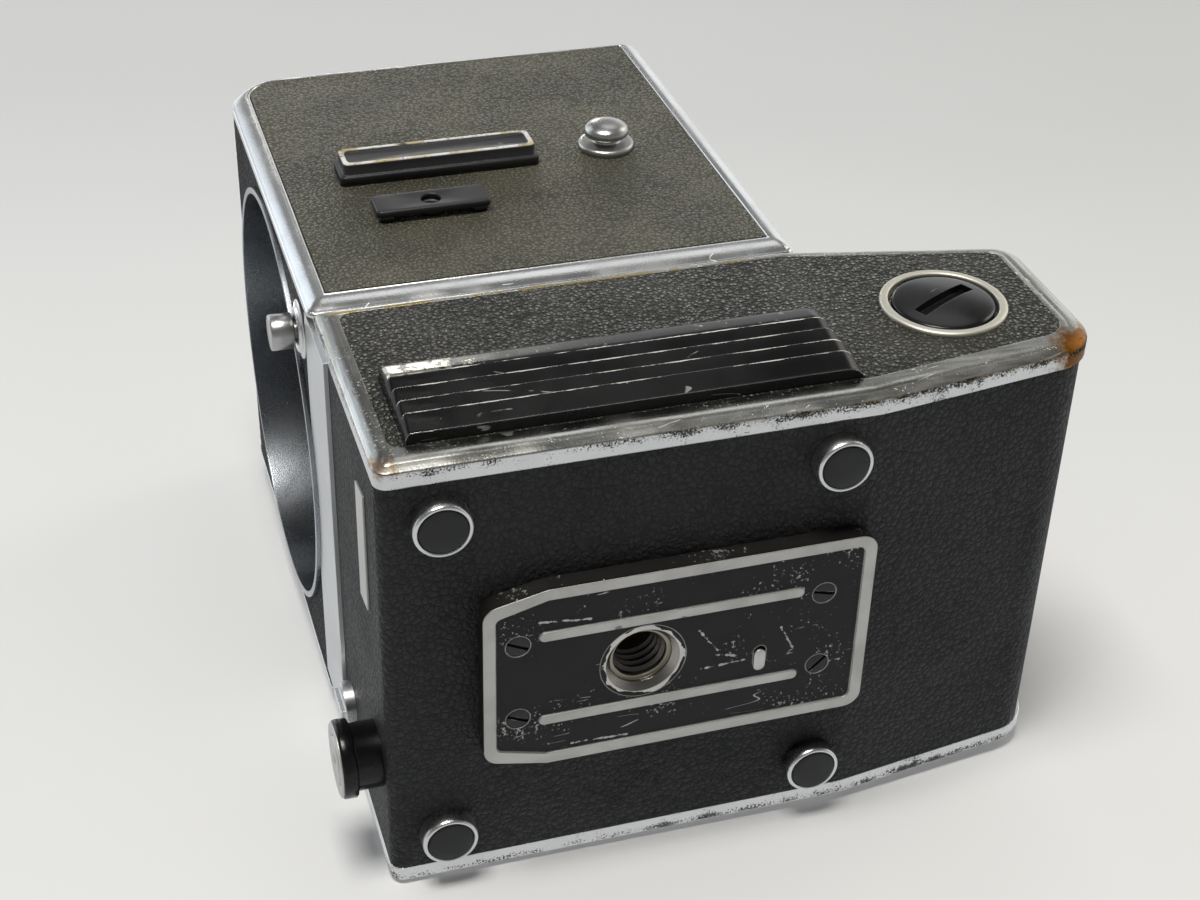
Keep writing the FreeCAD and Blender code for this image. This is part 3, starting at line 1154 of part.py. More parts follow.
lugY = frontY + lugSetback
lugHeight = lensAxisHeight + lugRise
strapLugs = []
for side in (1, -1):
    levels = [halfUpper, halfUpper + lugFlangeRise]
    levels.append(levels[1] + lugNeckRise)
    levels.append(levels[2] + lugRimRise)
    levels.append(levels[2] + lugHeadRise)
    flangeSpan = mirrored((levels[0], levels[1]), side)
    neckSpan = mirrored((levels[1], levels[2]), side)
    headSpan = mirrored((levels[2], levels[3]), side)
    domeSpan = mirrored((levels[3], levels[4]), side)
    domeRadii = (lugRadius, lugCrown) if side > 0 else (lugCrown, lugRadius)
    strapLugs.append(join(
        rod("X", lugFlangeRadius, flangeSpan[0], flangeSpan[1], lugY, lugHeight),
        rod("X", lugNeckRadius, neckSpan[0], neckSpan[1], lugY, lugHeight),
        rod("X", lugRadius, headSpan[0], headSpan[1], lugY, lugHeight),
        cone("X", domeRadii[0], domeRadii[1], domeSpan[0], domeSpan[1], lugY, lugHeight),
    ))
piece("strap_lugs", group(*strapLugs))


# Gear train: each gear's outline is worked out from its tooth count and the module

def gear(teeth, phase, bore, low, height):
    """Straight-flanked teeth with backlash, then a bore. Phase turns the gear by a share of a tooth."""
    module = float(gearModule)
    pitch = module * teeth / 2
    step = 2 * math.pi / teeth
    root = pitch - module * 1.15
    crown = pitch + module * 0.8
    rootShare = 0.34
    crownShare = 0.1
    outline = []
    for index in range(teeth):
        centre = (index + phase) * step
        for radius, share in (
            (root, -rootShare),
            (crown, -crownShare),
            (crown, crownShare),
            (root, rootShare),
        ):
            angle = centre + share * step
            outline.append(FreeCAD.Vector(radius * math.sin(angle), 0, radius * math.cos(angle)))
    outline.append(outline[0])
    blank = Part.Face(Part.makePolygon(outline)).extrude(FreeCAD.Vector(0, float(gearWidth), 0))
    if bore is not None:
        axis = FreeCAD.Vector(0, 1, 0)
        blank = blank.cut(Part.makeCylinder(float(bore), float(gearWidth), FreeCAD.Vector(), axis))
    thing = doc.addObject("Part::Feature", "gear")
    thing.Shape = blank
    return place(thing, 0, low, height)


# Phases put a tooth of one gear opposite a gap of the next, on the line between the axes
idlerGear = gear(idlerTeeth, 0, idlerPinRadius + runningGap, gearY[0], idlerHeight)
piece("idler_gear", idlerGear)
shaftGearPhase = 0.5 if shaftTeeth % 2 == 0 else 0.0
shaftGear = gear(shaftTeeth, shaftGearPhase, shaftRadius, gearY[0], shaftHeight)
pinionPhase = 0.5 if idlerTeeth % 2 == 0 else 0.0
pinionGear = gear(pinionTeeth, pinionPhase, pinionBore, gearY[0], pinionHeight)
keyFace = flangeFrontY - shaftKeyReach
shaftEnd = upperRearY + magazineGearProud
shaftRod = rod("Y", shaftRadius, keyFace, shaftEnd, 0, shaftHeight)
keySlot = box((-keySlotWidth / 2, keySlotWidth / 2), (keyFace - 1, keyFace + keySlotDepth),
              (shaftHeight - shaftRadius * 2, shaftHeight + shaftRadius * 2))
piece("drive_shaft", join(cut(shaftRod, keySlot), shaftGear))
magazineGear = gear(magazineTeeth, 0, shaftRadius, upperRearY + magazineGearGap, shaftHeight)
gearTrim = rod("Y", gearModule * magazineTeeth, upperRearY, shaftEnd, 0, shaftHeight)
piece("magazine_drive_gear", common(magazineGear, gearTrim))

noseY = gearY[1] + gearGap
motorY = (noseY + motorNoseLength, noseY + motorNoseLength + motorLength)
motorCan = rod("Y", motorRadius, motorY[0], motorY[1], 0, pinionHeight)
motorNose = rod("Y", motorNoseRadius, noseY, motorY[0], 0, pinionHeight)
motorBore = rod("Y", pinionBore + runningGap, gearY[1], motorY[0] + motorShaftDepth + 1, 0, pinionHeight)
piece("motor", cut(join(motorCan, motorNose), motorBore))
motorShaft = rod("Y", pinionBore, gearY[0] - 1, motorY[0] + motorShaftDepth, 0, pinionHeight)
piece("motor_pinion", join(pinionGear, motorShaft))
plateFaceY = (gearY[0] - gearPlateGap - gearPlateThickness, gearY[0] - gearPlateGap)
gearPlateBlock = box((-gearPlateHalf, gearPlateHalf), plateFaceY, (leather + baseWall, deckZ - baseWall))
idlerPin = rod("Y", idlerPinRadius, plateFaceY[0], gearY[1] + idlerPinEnd, 0, idlerHeight)
piece("gear_plate", join(gearPlateBlock, idlerPin))
cradleLow = leather + baseWall
cradleY = (motorY[0] + cradleInset, motorY[1] - cradleInset)
cradleBlock = box((-motorRadius, motorRadius), cradleY, (cradleLow, pinionHeight - cradleDrop))
cradleRoom = rod("Y", motorRadius, cradleY[0] - 1, cradleY[1] + 1, 0, pinionHeight)
cradleBushing = rod("Z", bushingRadius + cradleGap, cradleLow - 1, bushingDepth + cradleGap, 0, 0)
piece("motor_cradle", cut(cradleBlock, cradleRoom, cradleBushing))

# Batteries, their tray and contacts
batteryZ = leather + baseWall + trayThickness + batteryRadius + cellFloorGap
cellY = [frontY + batteryFront, frontY + batteryFront + batteryLength + cellGap]
cells = [rod("Y", batteryRadius, low, low + batteryLength, batteryOffset, batteryZ) for low in cellY]
piece("battery_cells", group(*cells))
trayX = (batteryOffset - batteryRadius - trayThickness, batteryOffset + batteryRadius)
trayY = (cellY[0] - trayEndGap, cellY[1] + batteryLength + trayEndGap)
trayFloor = box(trayX, trayY, (leather + baseWall, leather + baseWall + trayThickness))
trayWall = box((trayX[0], trayX[0] + trayThickness), trayY, (leather + baseWall, batteryZ + batteryRadius))
trayEnds = [box(trayX, (y, y + trayThickness), (leather + baseWall, batteryZ + trayEndRise))
            for y in (trayY[0], trayY[1] - trayThickness)]
batteryTray = join(trayFloor, trayWall, *trayEnds)
contactSpans = [
    (trayY[0] + trayThickness, cellY[0]),
    (cellY[1] + batteryLength, trayY[1] - trayThickness),
]
contacts = [rod("Y", cellContact, low, high, batteryOffset, batteryZ) for low, high in contactSpans]
piece("battery_tray", join(batteryTray, *contacts))
nutX = (halfHousing - nutSetback - nutLength, halfHousing - nutSetback)
webY = (coinY - lockNutRadius / 2, coinY + lockNutRadius / 2)
lockNutHole = rod("X", coinShaft + runningGap, nutX[0] - 1, nutX[1] + 1, coinY, coinHeight)
lockNut = rod("X", lockNutRadius, nutX[0], nutX[1], coinY, coinHeight)
webCorners = [
    (webY[0], floorAt(webY[0])),
    (webY[1], floorAt(webY[1])),
    (webY[1], coinHeight - coinShaft),
    (webY[0], coinHeight - coinShaft),
]
lockWeb = prism("X", webCorners, nutX[0], nutX[1])
piece("cover_lock_bracket", cut(join(lockNut, lockWeb), lockNutHole))

doc.recompute()

# Check every object and every sub-part before anything is written
for item in doc.Objects:
    if "Invalid" in item.State or "Error" in item.State:
        raise RuntimeError("%s (%s) failed: %s" % (item.Name, item.Label, item.State))
os.makedirs("parts", exist_ok=True)
for item in pieces:
    shape = item.Shape
    if shape.isNull() or not shape.isValid() or not shape.Solids:
        raise RuntimeError("%s has no valid solid" % item.Label)
for item in pieces:
    item.Shape.exportStep("parts/%s.step" % item.Label)
    bounds = item.Shape.BoundBox
    print("%-28s %2d solids  %9.1f mm3  x %.1f..%.1f  y %.1f..%.1f  z %.1f..%.1f" % (
        item.Label, len(item.Shape.Solids), item.Shape.Volume, bounds.XMin, bounds.XMax,
        bounds.YMin, bounds.YMax, bounds.ZMin, bounds.ZMax))
print(len(pieces), "sub-parts")
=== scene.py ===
import bmesh
import bpy
import math
import numpy as np
from mathutils import Matrix, Vector


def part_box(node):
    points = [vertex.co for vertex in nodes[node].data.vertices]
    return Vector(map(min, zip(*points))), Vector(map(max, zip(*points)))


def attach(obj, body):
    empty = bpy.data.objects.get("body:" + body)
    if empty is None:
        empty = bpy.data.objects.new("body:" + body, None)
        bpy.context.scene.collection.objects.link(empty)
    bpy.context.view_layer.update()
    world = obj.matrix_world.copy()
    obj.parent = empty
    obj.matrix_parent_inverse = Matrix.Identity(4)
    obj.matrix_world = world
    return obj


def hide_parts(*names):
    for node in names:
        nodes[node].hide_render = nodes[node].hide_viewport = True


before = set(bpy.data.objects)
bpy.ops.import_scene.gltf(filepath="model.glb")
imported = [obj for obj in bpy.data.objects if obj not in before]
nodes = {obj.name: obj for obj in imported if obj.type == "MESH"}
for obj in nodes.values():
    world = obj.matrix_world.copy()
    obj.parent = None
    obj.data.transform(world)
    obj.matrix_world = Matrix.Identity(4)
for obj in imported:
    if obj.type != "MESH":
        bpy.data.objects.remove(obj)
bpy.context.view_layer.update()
scene = bpy.context.scene
scene.view_settings.view_transform = "Standard"
mm = 0.001
print("frame loaded:", len(nodes), "nodes")


def pick(values, *names):
    return [values[name] for name in names]


def gridQuads(rows, columns, wrapRows):
    # corner numbers of the quads between neighbouring rows; columns always close into a ring
    row = np.arange(rows if wrapRows else rows - 1)[:, None]
    column = np.arange(columns)[None, :]
    nextRow = (row + 1) % rows
    nextColumn = (column + 1) % columns
    quads = np.stack([row * columns + column, row * columns + nextColumn,
                      nextRow * columns + nextColumn, nextRow * columns + column], axis=-1)
    return quads.reshape(-1, 4)


def surface(loops, wrapRows=False):
    # loops is an array (row, column, xyz) in millimetres: each row is a closed ring, joined to the next row.
    # Unless the rows wrap round, the first and last ring shrink to a point, which closes the surface.
    loops = np.asarray(loops, float) * mm
    if not wrapRows:
        first = np.repeat(loops[:1].mean(axis=1, keepdims=True), loops.shape[1], axis=1)
        last = np.repeat(loops[-1:].mean(axis=1, keepdims=True), loops.shape[1], axis=1)
        loops = np.concatenate([first, loops, last])
    return loops.reshape(-1, 3), gridQuads(loops.shape[0], loops.shape[1], wrapRows)


def makePiece(name, *surfaces):
    # joins closed surfaces into one mesh, merges doubled points and turns every face outwards
    counts = np.cumsum([0] + [len(points) for points, _ in surfaces])
    points = np.concatenate([points for points, _ in surfaces])
    quads = np.concatenate([quads + count for (_, quads), count in zip(surfaces, counts)])
    mesh = bpy.data.meshes.new(name)
    mesh.from_pydata(points.tolist(), [], quads.tolist())
    piece = bpy.data.objects.new(name, mesh)
    scene.collection.objects.link(piece)
    tidyMesh(mesh)
    return piece


def tidyMesh(mesh):
    work = bmesh.new()
    work.from_mesh(mesh)
    bmesh.ops.remove_doubles(work, verts=work.verts, dist=1e-7)
    bmesh.ops.dissolve_degenerate(work, edges=work.edges, dist=1e-7)
    bmesh.ops.recalc_face_normals(work, faces=work.faces)
    work.to_mesh(mesh)
    work.free()
    mesh.shade_smooth()
    mesh.update()


def onAxis(axis, centre, along, across, up):
    # points given by their place along an axis, and by the other two axes in alphabetical order
    order = {"X": (0, 1, 2), "Y": (1, 0, 2), "Z": (2, 0, 1)}[axis]
    along, across, up = np.broadcast_arrays(along, across, up)
    points = np.zeros(along.shape + (3,))
    points[..., order[0]] = along
    points[..., order[1]] = across
    points[..., order[2]] = up
    return points + np.asarray(centre, float)


def turned(profile, axis, centre, side=1, steps=72, wrapRows=False):
    # a profile of (radius, height) pairs swept round an axis: across = r cos a, up = r sin a
    profile = np.asarray(profile, float)
    angle = np.linspace(0, 2 * math.pi, steps, endpoint=False)[None, :]
    radius = profile[:, :1]
    points = onAxis(axis, centre, side * profile[:, 1:], radius * np.cos(angle), radius * np.sin(angle))
    return surface(points, wrapRows)


def roundedRing(halfAcross, halfUp, corner, count=64):
    # a rounded rectangle as a ring: corner circle of radius c set on the corners of the inner rectangle
    angle = (np.arange(count) + 0.5) * 2 * math.pi / count
    across = np.sign(np.cos(angle)) * (halfAcross - corner) + corner * np.cos(angle)
    up = np.sign(np.sin(angle)) * (halfUp - corner) + corner * np.sin(angle)
    return across, up


def stacked(levels, axis, centre, side=1, count=64, wrapRows=False):
    # rounded rectangles (height, half across, half up, corner radius) joined level by level
    rings = []
    for height, halfAcross, halfUp, corner in levels:
        across, up = roundedRing(halfAcross, halfUp, corner, count)
        rings.append(onAxis(axis, centre, side * height, across, up))
    return surface(np.stack(rings), wrapRows)


def carve(piece, cutter):
    # takes the cutter's shape out of the piece and removes the cutter
    boolean = piece.modifiers.new("carved", "BOOLEAN")
    boolean.object = cutter
    boolean.operation = "DIFFERENCE"
    boolean.solver = "EXACT"
    made = bpy.data.meshes.new_from_object(piece.evaluated_get(bpy.context.evaluated_depsgraph_get()))
    piece.modifiers.clear()
    old = piece.data
    piece.data = made
    bpy.data.meshes.remove(old)
    bpy.data.objects.remove(cutter)
    made.shade_smooth()


def slotCutter(spots, half, axis):
    # blocks with half sizes (along, across, up), each turned about the axis at its own centre (x, y, z, degrees)
    blocks = []
    for x, y, z, degrees in spots:
        ring = np.array([[-1, -1], [1, -1], [1, 1], [-1, 1]], float) * np.asarray(half[1:])
        turn = math.radians(degrees)
        across = ring[:, 0] * math.cos(turn) - ring[:, 1] * math.sin(turn)
        up = ring[:, 0] * math.sin(turn) + ring[:, 1] * math.cos(turn)
        blocks.append(surface(np.stack([onAxis(axis, (x, y, z), along, across, up) for along in (-half[0], half[0])])))
    return makePiece("slot_cutter", *blocks)


def addPiece(name, surfaces, material, slot, *replaced, body="camera_body", sharp=None, cutter=None):
    # makes a piece with its finish, the nodes it stands for, the body it moves with and the angle of its sharp edges
    piece = makePiece(name, *surfaces)
    if cutter:
        carve(piece, cutter)
    piece.data.materials.append(material)
    if sharp:
        piece.data.set_sharp_from_angle(angle=math.radians(sharp))
    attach(piece, body)
    if replaced:
        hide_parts(*replaced)


def maths(operation, swapped=False):
    # a method that adds a Math node; swapped puts the other value first
    def method(self, *others):
        return mathNode(self.tree, operation, *((*others, self) if swapped else (self, *others)))
    return method


class Value:
    # a node's output; arithmetic with it adds Math nodes to its tree
    def __init__(self, socket):
        self.socket, self.tree = socket, socket.id_data

    __add__, __sub__, __rsub__ = maths("ADD"), maths("SUBTRACT"), maths("SUBTRACT", True)
    __mul__, __truediv__, __rtruediv__ = maths("MULTIPLY"), maths("DIVIDE"), maths("DIVIDE", True)
    __lt__, __gt__, __abs__ = maths("LESS_THAN"), maths("GREATER_THAN"), maths("ABSOLUTE")
    most, least = maths("MAXIMUM"), maths("MINIMUM")

    def math(self, operation, *others):
        return mathNode(self.tree, operation, self, *others)

    def vector(self, operation, *others):
        out = "Value" if operation in ("DISTANCE", "DOT_PRODUCT", "LENGTH") else "Vector"
        inputs = dict(enumerate((self, *others)))
        return put(self.tree, "ShaderNodeVectorMath", inputs, out, operation=operation)

    def scaled(self, factor):
        return put(self.tree, "ShaderNodeVectorMath", {0: self, "Scale": factor}, operation="SCALE")

    def clamped(self):
        self.socket.node.use_clamp = True
        return self

    def ramp(self, low, high, toLow=0.0, toHigh=1.0, smooth=True):
        inputs = {"Value": self, "From Min": low, "From Max": high, "To Min": toLow, "To Max": toHigh}
        kind = "SMOOTHSTEP" if smooth else "LINEAR"
        return put(self.tree, "ShaderNodeMapRange", inputs, interpolation_type=kind)

    def noise(self, size=None, detail=3.0, rough=0.55, distort=0.0, scale=None, out="Fac"):
        inputs = {"Vector": self, "Scale": 1.0 / size if scale is None else scale, "Detail": detail,
                  "Roughness": rough, "Distortion": distort}
        return put(self.tree, "ShaderNodeTexNoise", inputs, out)

    def shifted(self, scale=(1, 1, 1), turn=(0, 0, 0), move=(0, 0, 0)):
        inputs = {"Vector": self, "Location": move, "Rotation": turn, "Scale": scale}
        return put(self.tree, "ShaderNodeMapping", inputs)


def fill(node, inputs):
    # sets or links a node's inputs; an underscore in a name stands for a space
    for name, value in inputs.items():
        socket = node.inputs[name.replace("_", " ") if isinstance(name, str) else name]
        if isinstance(value, Value):
            value.tree.links.new(value.socket, socket)
        elif socket.type == "RGBA":
            socket.default_value = (*value[:3], 1)
        else:
            socket.default_value = value


def named(node):
    return {socket.name: Value(socket) for socket in node.outputs if socket.name}


def put(tree, kind, inputs=None, out=0, **settings):
    node = tree.nodes.new(kind)
    for name, value in settings.items():
        setattr(node, name, value)
    fill(node, inputs or {})
    return Value(node.outputs[out])


def mathNode(tree, operation, *values):
    return put(tree, "ShaderNodeMath", dict(enumerate(values)), operation=operation)


def split(vector):
    return [Value(socket) for socket in put(vector.tree, "ShaderNodeSeparateXYZ", {0: vector}).socket.node.outputs]


def blend(share, first, second):
    return put(share.tree, "ShaderNodeMix", {0: share, 6: first, 7: second}, 2, data_type="RGBA")


def wire(shader, **sockets):
    fill(shader, sockets)


def bumped(height, distance, soft=None):
    # a bump; soft is the radius over which its edges are rounded
    inputs = {"Height": height, "Distance": distance}
    if soft:
        inputs["Normal"] = put(height.tree, "ShaderNodeBevel", {"Radius": soft}, samples=6)
    return put(height.tree, "ShaderNodeBump", inputs)


def newGroup(name, **inputs):
    # a node group that takes a vector and these numbers
    group = bpy.data.node_groups.new(name, "ShaderNodeTree")
    group.interface.new_socket("Vector", in_out="INPUT", socket_type="NodeSocketVector")
    for label, value in inputs.items():
        group.interface.new_socket(label, in_out="INPUT", socket_type="NodeSocketFloat").default_value = value
    return group, named(group.nodes.new("NodeGroupInput"))


def giveOut(group, **results):
    for label in results:
        group.interface.new_socket(label, in_out="OUTPUT", socket_type="NodeSocketFloat")
    fill(group.nodes.new("NodeGroupOutput"), results)
    return group


def useGroup(group, vector, **values):
    node = vector.tree.nodes.new("ShaderNodeGroup")
    node.node_tree = group
    fill(node, {"Vector": vector, **values})
    return named(node)


def makeGrain():
    # pebbled leathercloth: rounded cells with creases between them, broken up by noise
    group, given = newGroup("leather grain", Pebble=0.001, Flat=0.3)
    place, pebble = given["Vector"], given["Pebble"]
    scale = 1.0 / pebble
    offset = place.noise(scale=scale, detail=2.0, rough=0.5, out="Color").vector("SUBTRACT", (0.5, 0.5, 0.5))
    cells = {"Vector": place.vector("ADD", offset.scaled(pebble * 0.9)), "Scale": scale}
    middle = put(group, "ShaderNodeTexVoronoi", cells, "Distance", feature="F1")
    edges = put(group, "ShaderNodeTexVoronoi", cells, "Distance", feature="DISTANCE_TO_EDGE")
    crease = edges.ramp(0.0, 0.16, 1.0, 0.0)
    fine = place.noise(scale=scale * 2.6, rough=0.5)
    height = crease * -0.45 + (fine * 0.5 + middle.ramp(0.0, 0.75, 1.0, 0.0))
    broad = place.noise(scale=55.0, rough=0.5)
    return giveOut(group, Height=height.least(1.5 - given["Flat"]), Crease=crease, Patch=broad.ramp(0.3, 0.7))


def makeEdgeWear():
    # worn edges: where a rounded normal leaves the true one, broken up by noise
    group, given = newGroup("edge wear", Reach=0.0004, Amount=0.5, Patch=0.004)
    rounded = put(group, "ShaderNodeBevel", {"Radius": given["Reach"]}, samples=6)
    true = put(group, "ShaderNodeNewGeometry", out="Normal")
    edge = rounded.vector("DOT_PRODUCT", true).ramp(0.995, 0.86)
    patch = given["Vector"].noise(given["Patch"], 5.0, 0.65)
    mask = (patch * 0.9 + edge * 0.6 - (1.0 - given["Amount"])).ramp(0.18, 0.3)
    return giveOut(group, Mask=mask * edge.ramp(0.02, 0.3))


def makeScratches():
    # hairline scratches in three directions, each a thin contour of stretched noise, shown only in patches
    group, given = newGroup("scratches", Size=0.004, Amount=0.5, Width=0.02)
    place, scale = given["Vector"], 1.0 / given["Size"]
    total = None
    for index, turn in enumerate(((0.3, 0.2, 0.5), (1.2, 0.7, 2.1), (2.3, 1.4, 1.2))):
        stretched = place.shifted((1, 0.12, 0.12), turn, (0.13 * index, 0.31, 0.07))
        off = abs(stretched.noise(scale=scale, detail=1.0, rough=0.5, distort=0.2) - (0.5 + 0.03 * index))
        thin = off.math("COMPARE", 0.0, given["Width"] * 0.1) * (1.0 - off.ramp(0.0, 0.02))
        patches = place.shifted(turn=turn, move=(0.7 * index, 0.2, 0.4)).noise(None, 2.0, 0.5, scale=scale * 0.7)
        part = thin * (patches - (given["Amount"] * -0.35 + 0.8)).ramp(0.0, 0.04)
        total = part if total is None else total.most(part)
    return giveOut(group, Mask=total)


def makeChips():
    # chips and pits: small islands of noise that come in clusters
    group, given = newGroup("chips", Size=0.001, Amount=0.3)
    place, scale = given["Vector"], 1.0 / given["Size"]
    cluster = place.noise(scale=scale * 0.09, detail=2.0, rough=0.5)
    raised = cluster * 0.55 + place.noise(scale=scale, detail=4.0, rough=0.7)
    return giveOut(group, Mask=(raised - (given["Amount"] * -0.45 + 1.12)).ramp(0.0, 0.05))


def makeSmudges():
    # finger marks and dull patches, for roughness and a little colour
    group, given = newGroup("smudges", Size=0.02)
    place, scale = given["Vector"], 1.0 / given["Size"]
    broad = place.noise(scale=scale, detail=5.0, rough=0.5, distort=0.6)
    return giveOut(group, Value=broad.ramp(0.3, 0.7), Fine=place.noise(scale=scale * 30.0, detail=2.0, rough=0.5))


grainGroup = makeGrain()
wearGroup = makeEdgeWear()
scratchGroup = makeScratches()
chipGroup = makeChips()
smudgeGroup = makeSmudges()


def edgeWear(place, reach, amount, patch):
    return useGroup(wearGroup, place, Reach=reach, Amount=amount, Patch=patch)["Mask"]


def scratched(place, size, amount, width):
    return useGroup(scratchGroup, place, Size=size, Amount=amount, Width=width)["Mask"]


def chipped(place, size, amount):
    return useGroup(chipGroup, place, Size=size, Amount=amount)["Mask"]


def smudged(place, size):
    made = useGroup(smudgeGroup, place, Size=size)
    return made["Value"], made["Fine"]


def shade(colour, factor):
    return tuple(part * factor for part in colour)


def newMaterial(name):
    # returns the material, its shader and the place on the object
    material = bpy.data.materials.new(name)
    material.use_nodes = True
    tree = material.node_tree
    return material, tree.nodes["Principled BSDF"], put(tree, "ShaderNodeTexCoord", out="Object")


def leatherCloth(name, dark, light, pebble, height, rough, flat=0.3, glint=0.0, sheen=0.5, paintedGlint=0.0):
    # grained cloth: creases darker and pebble tops lighter, partly the cloth's own tone and partly painted shade in
    # the creases and painted light on the tops; tops a little shinier; paintedGlint paints glints on the highest tops
    material, shader, place = newMaterial(name)
    grain = useGroup(grainGroup, place, Pebble=pebble, Flat=flat)
    # lightened pebble tops and darkened creases: partly the cloth's own tone, partly painted light and painted shade
    tone = (grain["Patch"] * 0.35 + grain["Height"] * 0.5).clamped()
    colour = blend(tone, dark, light)
    # painted glints: the highest pebble tops are blended towards a bright colour
    if paintedGlint:
        top = grain["Height"].ramp(0.85, 1.15) * paintedGlint
        colour = blend(top, colour, shade(light, 3.2))
    smudge = smudged(place, 0.03)[0]
    roughness = smudge * 0.1 + rough + grain["Crease"] * 0.2 + grain["Height"] * -glint
    wire(shader, Base_Color=colour, Roughness=roughness, Specular_IOR_Level=sheen,
         Normal=bumped(grain["Height"], height))
    return material, shader, place, colour


rimMarks = {"front": -40.4, "rear": 80.9, "corner": 43.7, "top": 48.2, "skin": 44.4, "film": (0.24, 0.232, 0.18),
            "frontTone": (0.2, 0.195, 0.185), "speck": (0.75, 0.73, 0.66), "dull": (0.2, 0.16, 0.08),
            "brassy": (0.5, 0.36, 0.08), "edgeBrass": (0.24, 0.15, 0.045), "deepBrass": (0.17, 0.062, 0.003),
            "pit": (0.03, 0.027, 0.022)}


def chromeFinish(name, tint=(0.7, 0.7, 0.69), rough=0.16, scuff=0.4, pits=0.15, brass=None, rubbed=False):
    # plated metal: brushed by use, pitted in clusters; brass is a list of (centre mm, radius mm) worn to the base
    material, shader, place = newMaterial(name)
    smudge, fine = smudged(place, 0.012)
    scratch = scratched(place, 0.0035, scuff, 0.03)
    amount = pits
    x, y, z = split(place)
    # strokes run along Y, but along Z on the upright stretches of the rims
    upright = (y < rimMarks["front"] * mm).most(y > rimMarks["rear"] * mm)
    stretch = put(place.tree, "ShaderNodeCombineXYZ", {0: 1.0, 1: upright * 0.9 + 0.1, 2: upright * -0.9 + 1.0})
    along = place.vector("MULTIPLY", stretch)
    strokes = along.noise(0.00035, 3, 0.6) * (upright * -0.75 + 1.0)
    if rubbed:
        level = abs(x)
        amount = y.ramp(-0.02, 0.03, pits * 0.8, pits) * level.ramp(0.0418, 0.0434, 0.55, 1.0)
        amount *= level.ramp(0.0442, 0.0437, 0.3, 1.0)
    chip = chipped(place, 0.00038, amount)
    colour = blend(smudge * 0.25, tint, shade(tint, 0.8))
    roughness = smudge * 0.14 + rough + fine * 0.05 + scratch * 0.25
    if rubbed:
        # the top face is dulled to olive, partly dull plating and partly a painted reflection of the dark room, and
        # sparkles with bright specks and nicks
        face = x.ramp(0.0436, 0.0439)
        speck = chipped(place.shifted((1, 0.6, 1), move=(0.1, 0.2, 0.3)), 0.0005, 0.43)
        streak = along.noise(0.0011, 4, 0.65).ramp(0.4, 0.66)
        film = face * (streak * 0.4 + 0.4)
        colour = blend(film, colour, rimMarks["film"])
        front = face * y.ramp(-0.0398, -0.0408) * y.ramp(-0.0434, -0.043)
        colour = blend(front * 0.65, colour, rimMarks["frontTone"])
        colour = blend(face * speck, colour, rimMarks["speck"])
        roughness += face * speck * 0.4
    for centre, radius in brass or []:
        offset = place.vector("DISTANCE", tuple(c * mm for c in centre))
        reach = place.noise(0.0025, 5, 0.7) * 0.012 + offset
        mask = reach.ramp(radius * mm + 0.0095, radius * mm + 0.0045)
        colour = blend(mask, colour, blend(mask, rimMarks["edgeBrass"], rimMarks["deepBrass"]))
        roughness += mask * 0.12
    if rubbed:
        # the rim's corner is rubbed dull and yellow in places, and the top edge beside the leathercloth is brassy
        patch = place.noise(0.005, 4, 0.6).ramp(0.4, 0.56)
        corner = abs(x - rimMarks["corner"] * mm).ramp(0.00055, 0.0001)
        topEdge = abs(z - rimMarks["top"] * mm).ramp(0.0004, 0.00015) * (x > rimMarks["skin"] * mm)
        dull = corner * patch * y.ramp(0.0, 0.04)
        colour = blend(dull * 0.8, colour, rimMarks["dull"])
        colour = blend(topEdge * patch * 0.9, colour, rimMarks["brassy"])
        roughness += dull * 0.25
    colour = blend(chip * 0.9, colour, rimMarks["pit"])
    roughness += chip * 0.4
    uneven = scratch * -0.5 + (chip * -1.0 + fine)
    uneven += strokes * (0.5 if rubbed else 0.25)
    wire(shader, Base_Color=colour, Metallic=1.0, Roughness=roughness, Normal=bumped(uneven, 0.00002, soft=0.0003))
    return material, shader, place, colour


def paintedMetal(name, paint=(0.012, 0.012, 0.013), bare=(0.5, 0.49, 0.46), rough=0.35, wear=0.4, chips=0.12,
                 scuff=0.3, edge=0.0005, metal=True):
    # paint over metal: bright at worn edges, chips and scratches
    material, shader, place = newMaterial(name)
    smudge, fine = smudged(place, 0.015)
    worn = edgeWear(place, edge, wear, 0.003)
    chip = chipped(place, 0.0011, chips)
    scratch = scratched(place, 0.005, scuff, 0.022)
    mask = worn.most(chip.most(scratch * 0.7))
    painted = blend(smudge * 0.5, paint, shade(paint, 1.6))
    colour = blend(mask, painted, bare)
    roughness = smudge * 0.12 + rough + fine * 0.06
    height = mask * -1.0 + fine * 0.35
    wire(shader, Base_Color=colour, Roughness=roughness, Normal=bumped(height, 0.00003, soft=0.00025))
    if metal:
        wire(shader, Metallic=mask)
    return material, shader, place, colour


def plainMetal(name, tint, rough, brushed=None, stain=0.2):
    # bare or anodised metal; brushed names the axis that the fine lines run along
    material, shader, place = newMaterial(name)
    smudge = smudged(place, 0.018)[0]
    scale = {"X": (0.03, 1, 1), "Y": (1, 0.03, 1), "Z": (1, 1, 0.03)}.get(brushed, (1, 1, 1))
    lines = place.shifted(scale).noise(0.00025, 2)
    colour = blend(smudge * stain, tint, shade(tint, 0.7))
    roughness = lines * 0.18 + (smudge * 0.08 + rough)
    wire(shader, Base_Color=colour, Metallic=1.0, Roughness=roughness, Normal=bumped(lines, 0.00001, soft=0.0002))
    return material, shader, place, colour


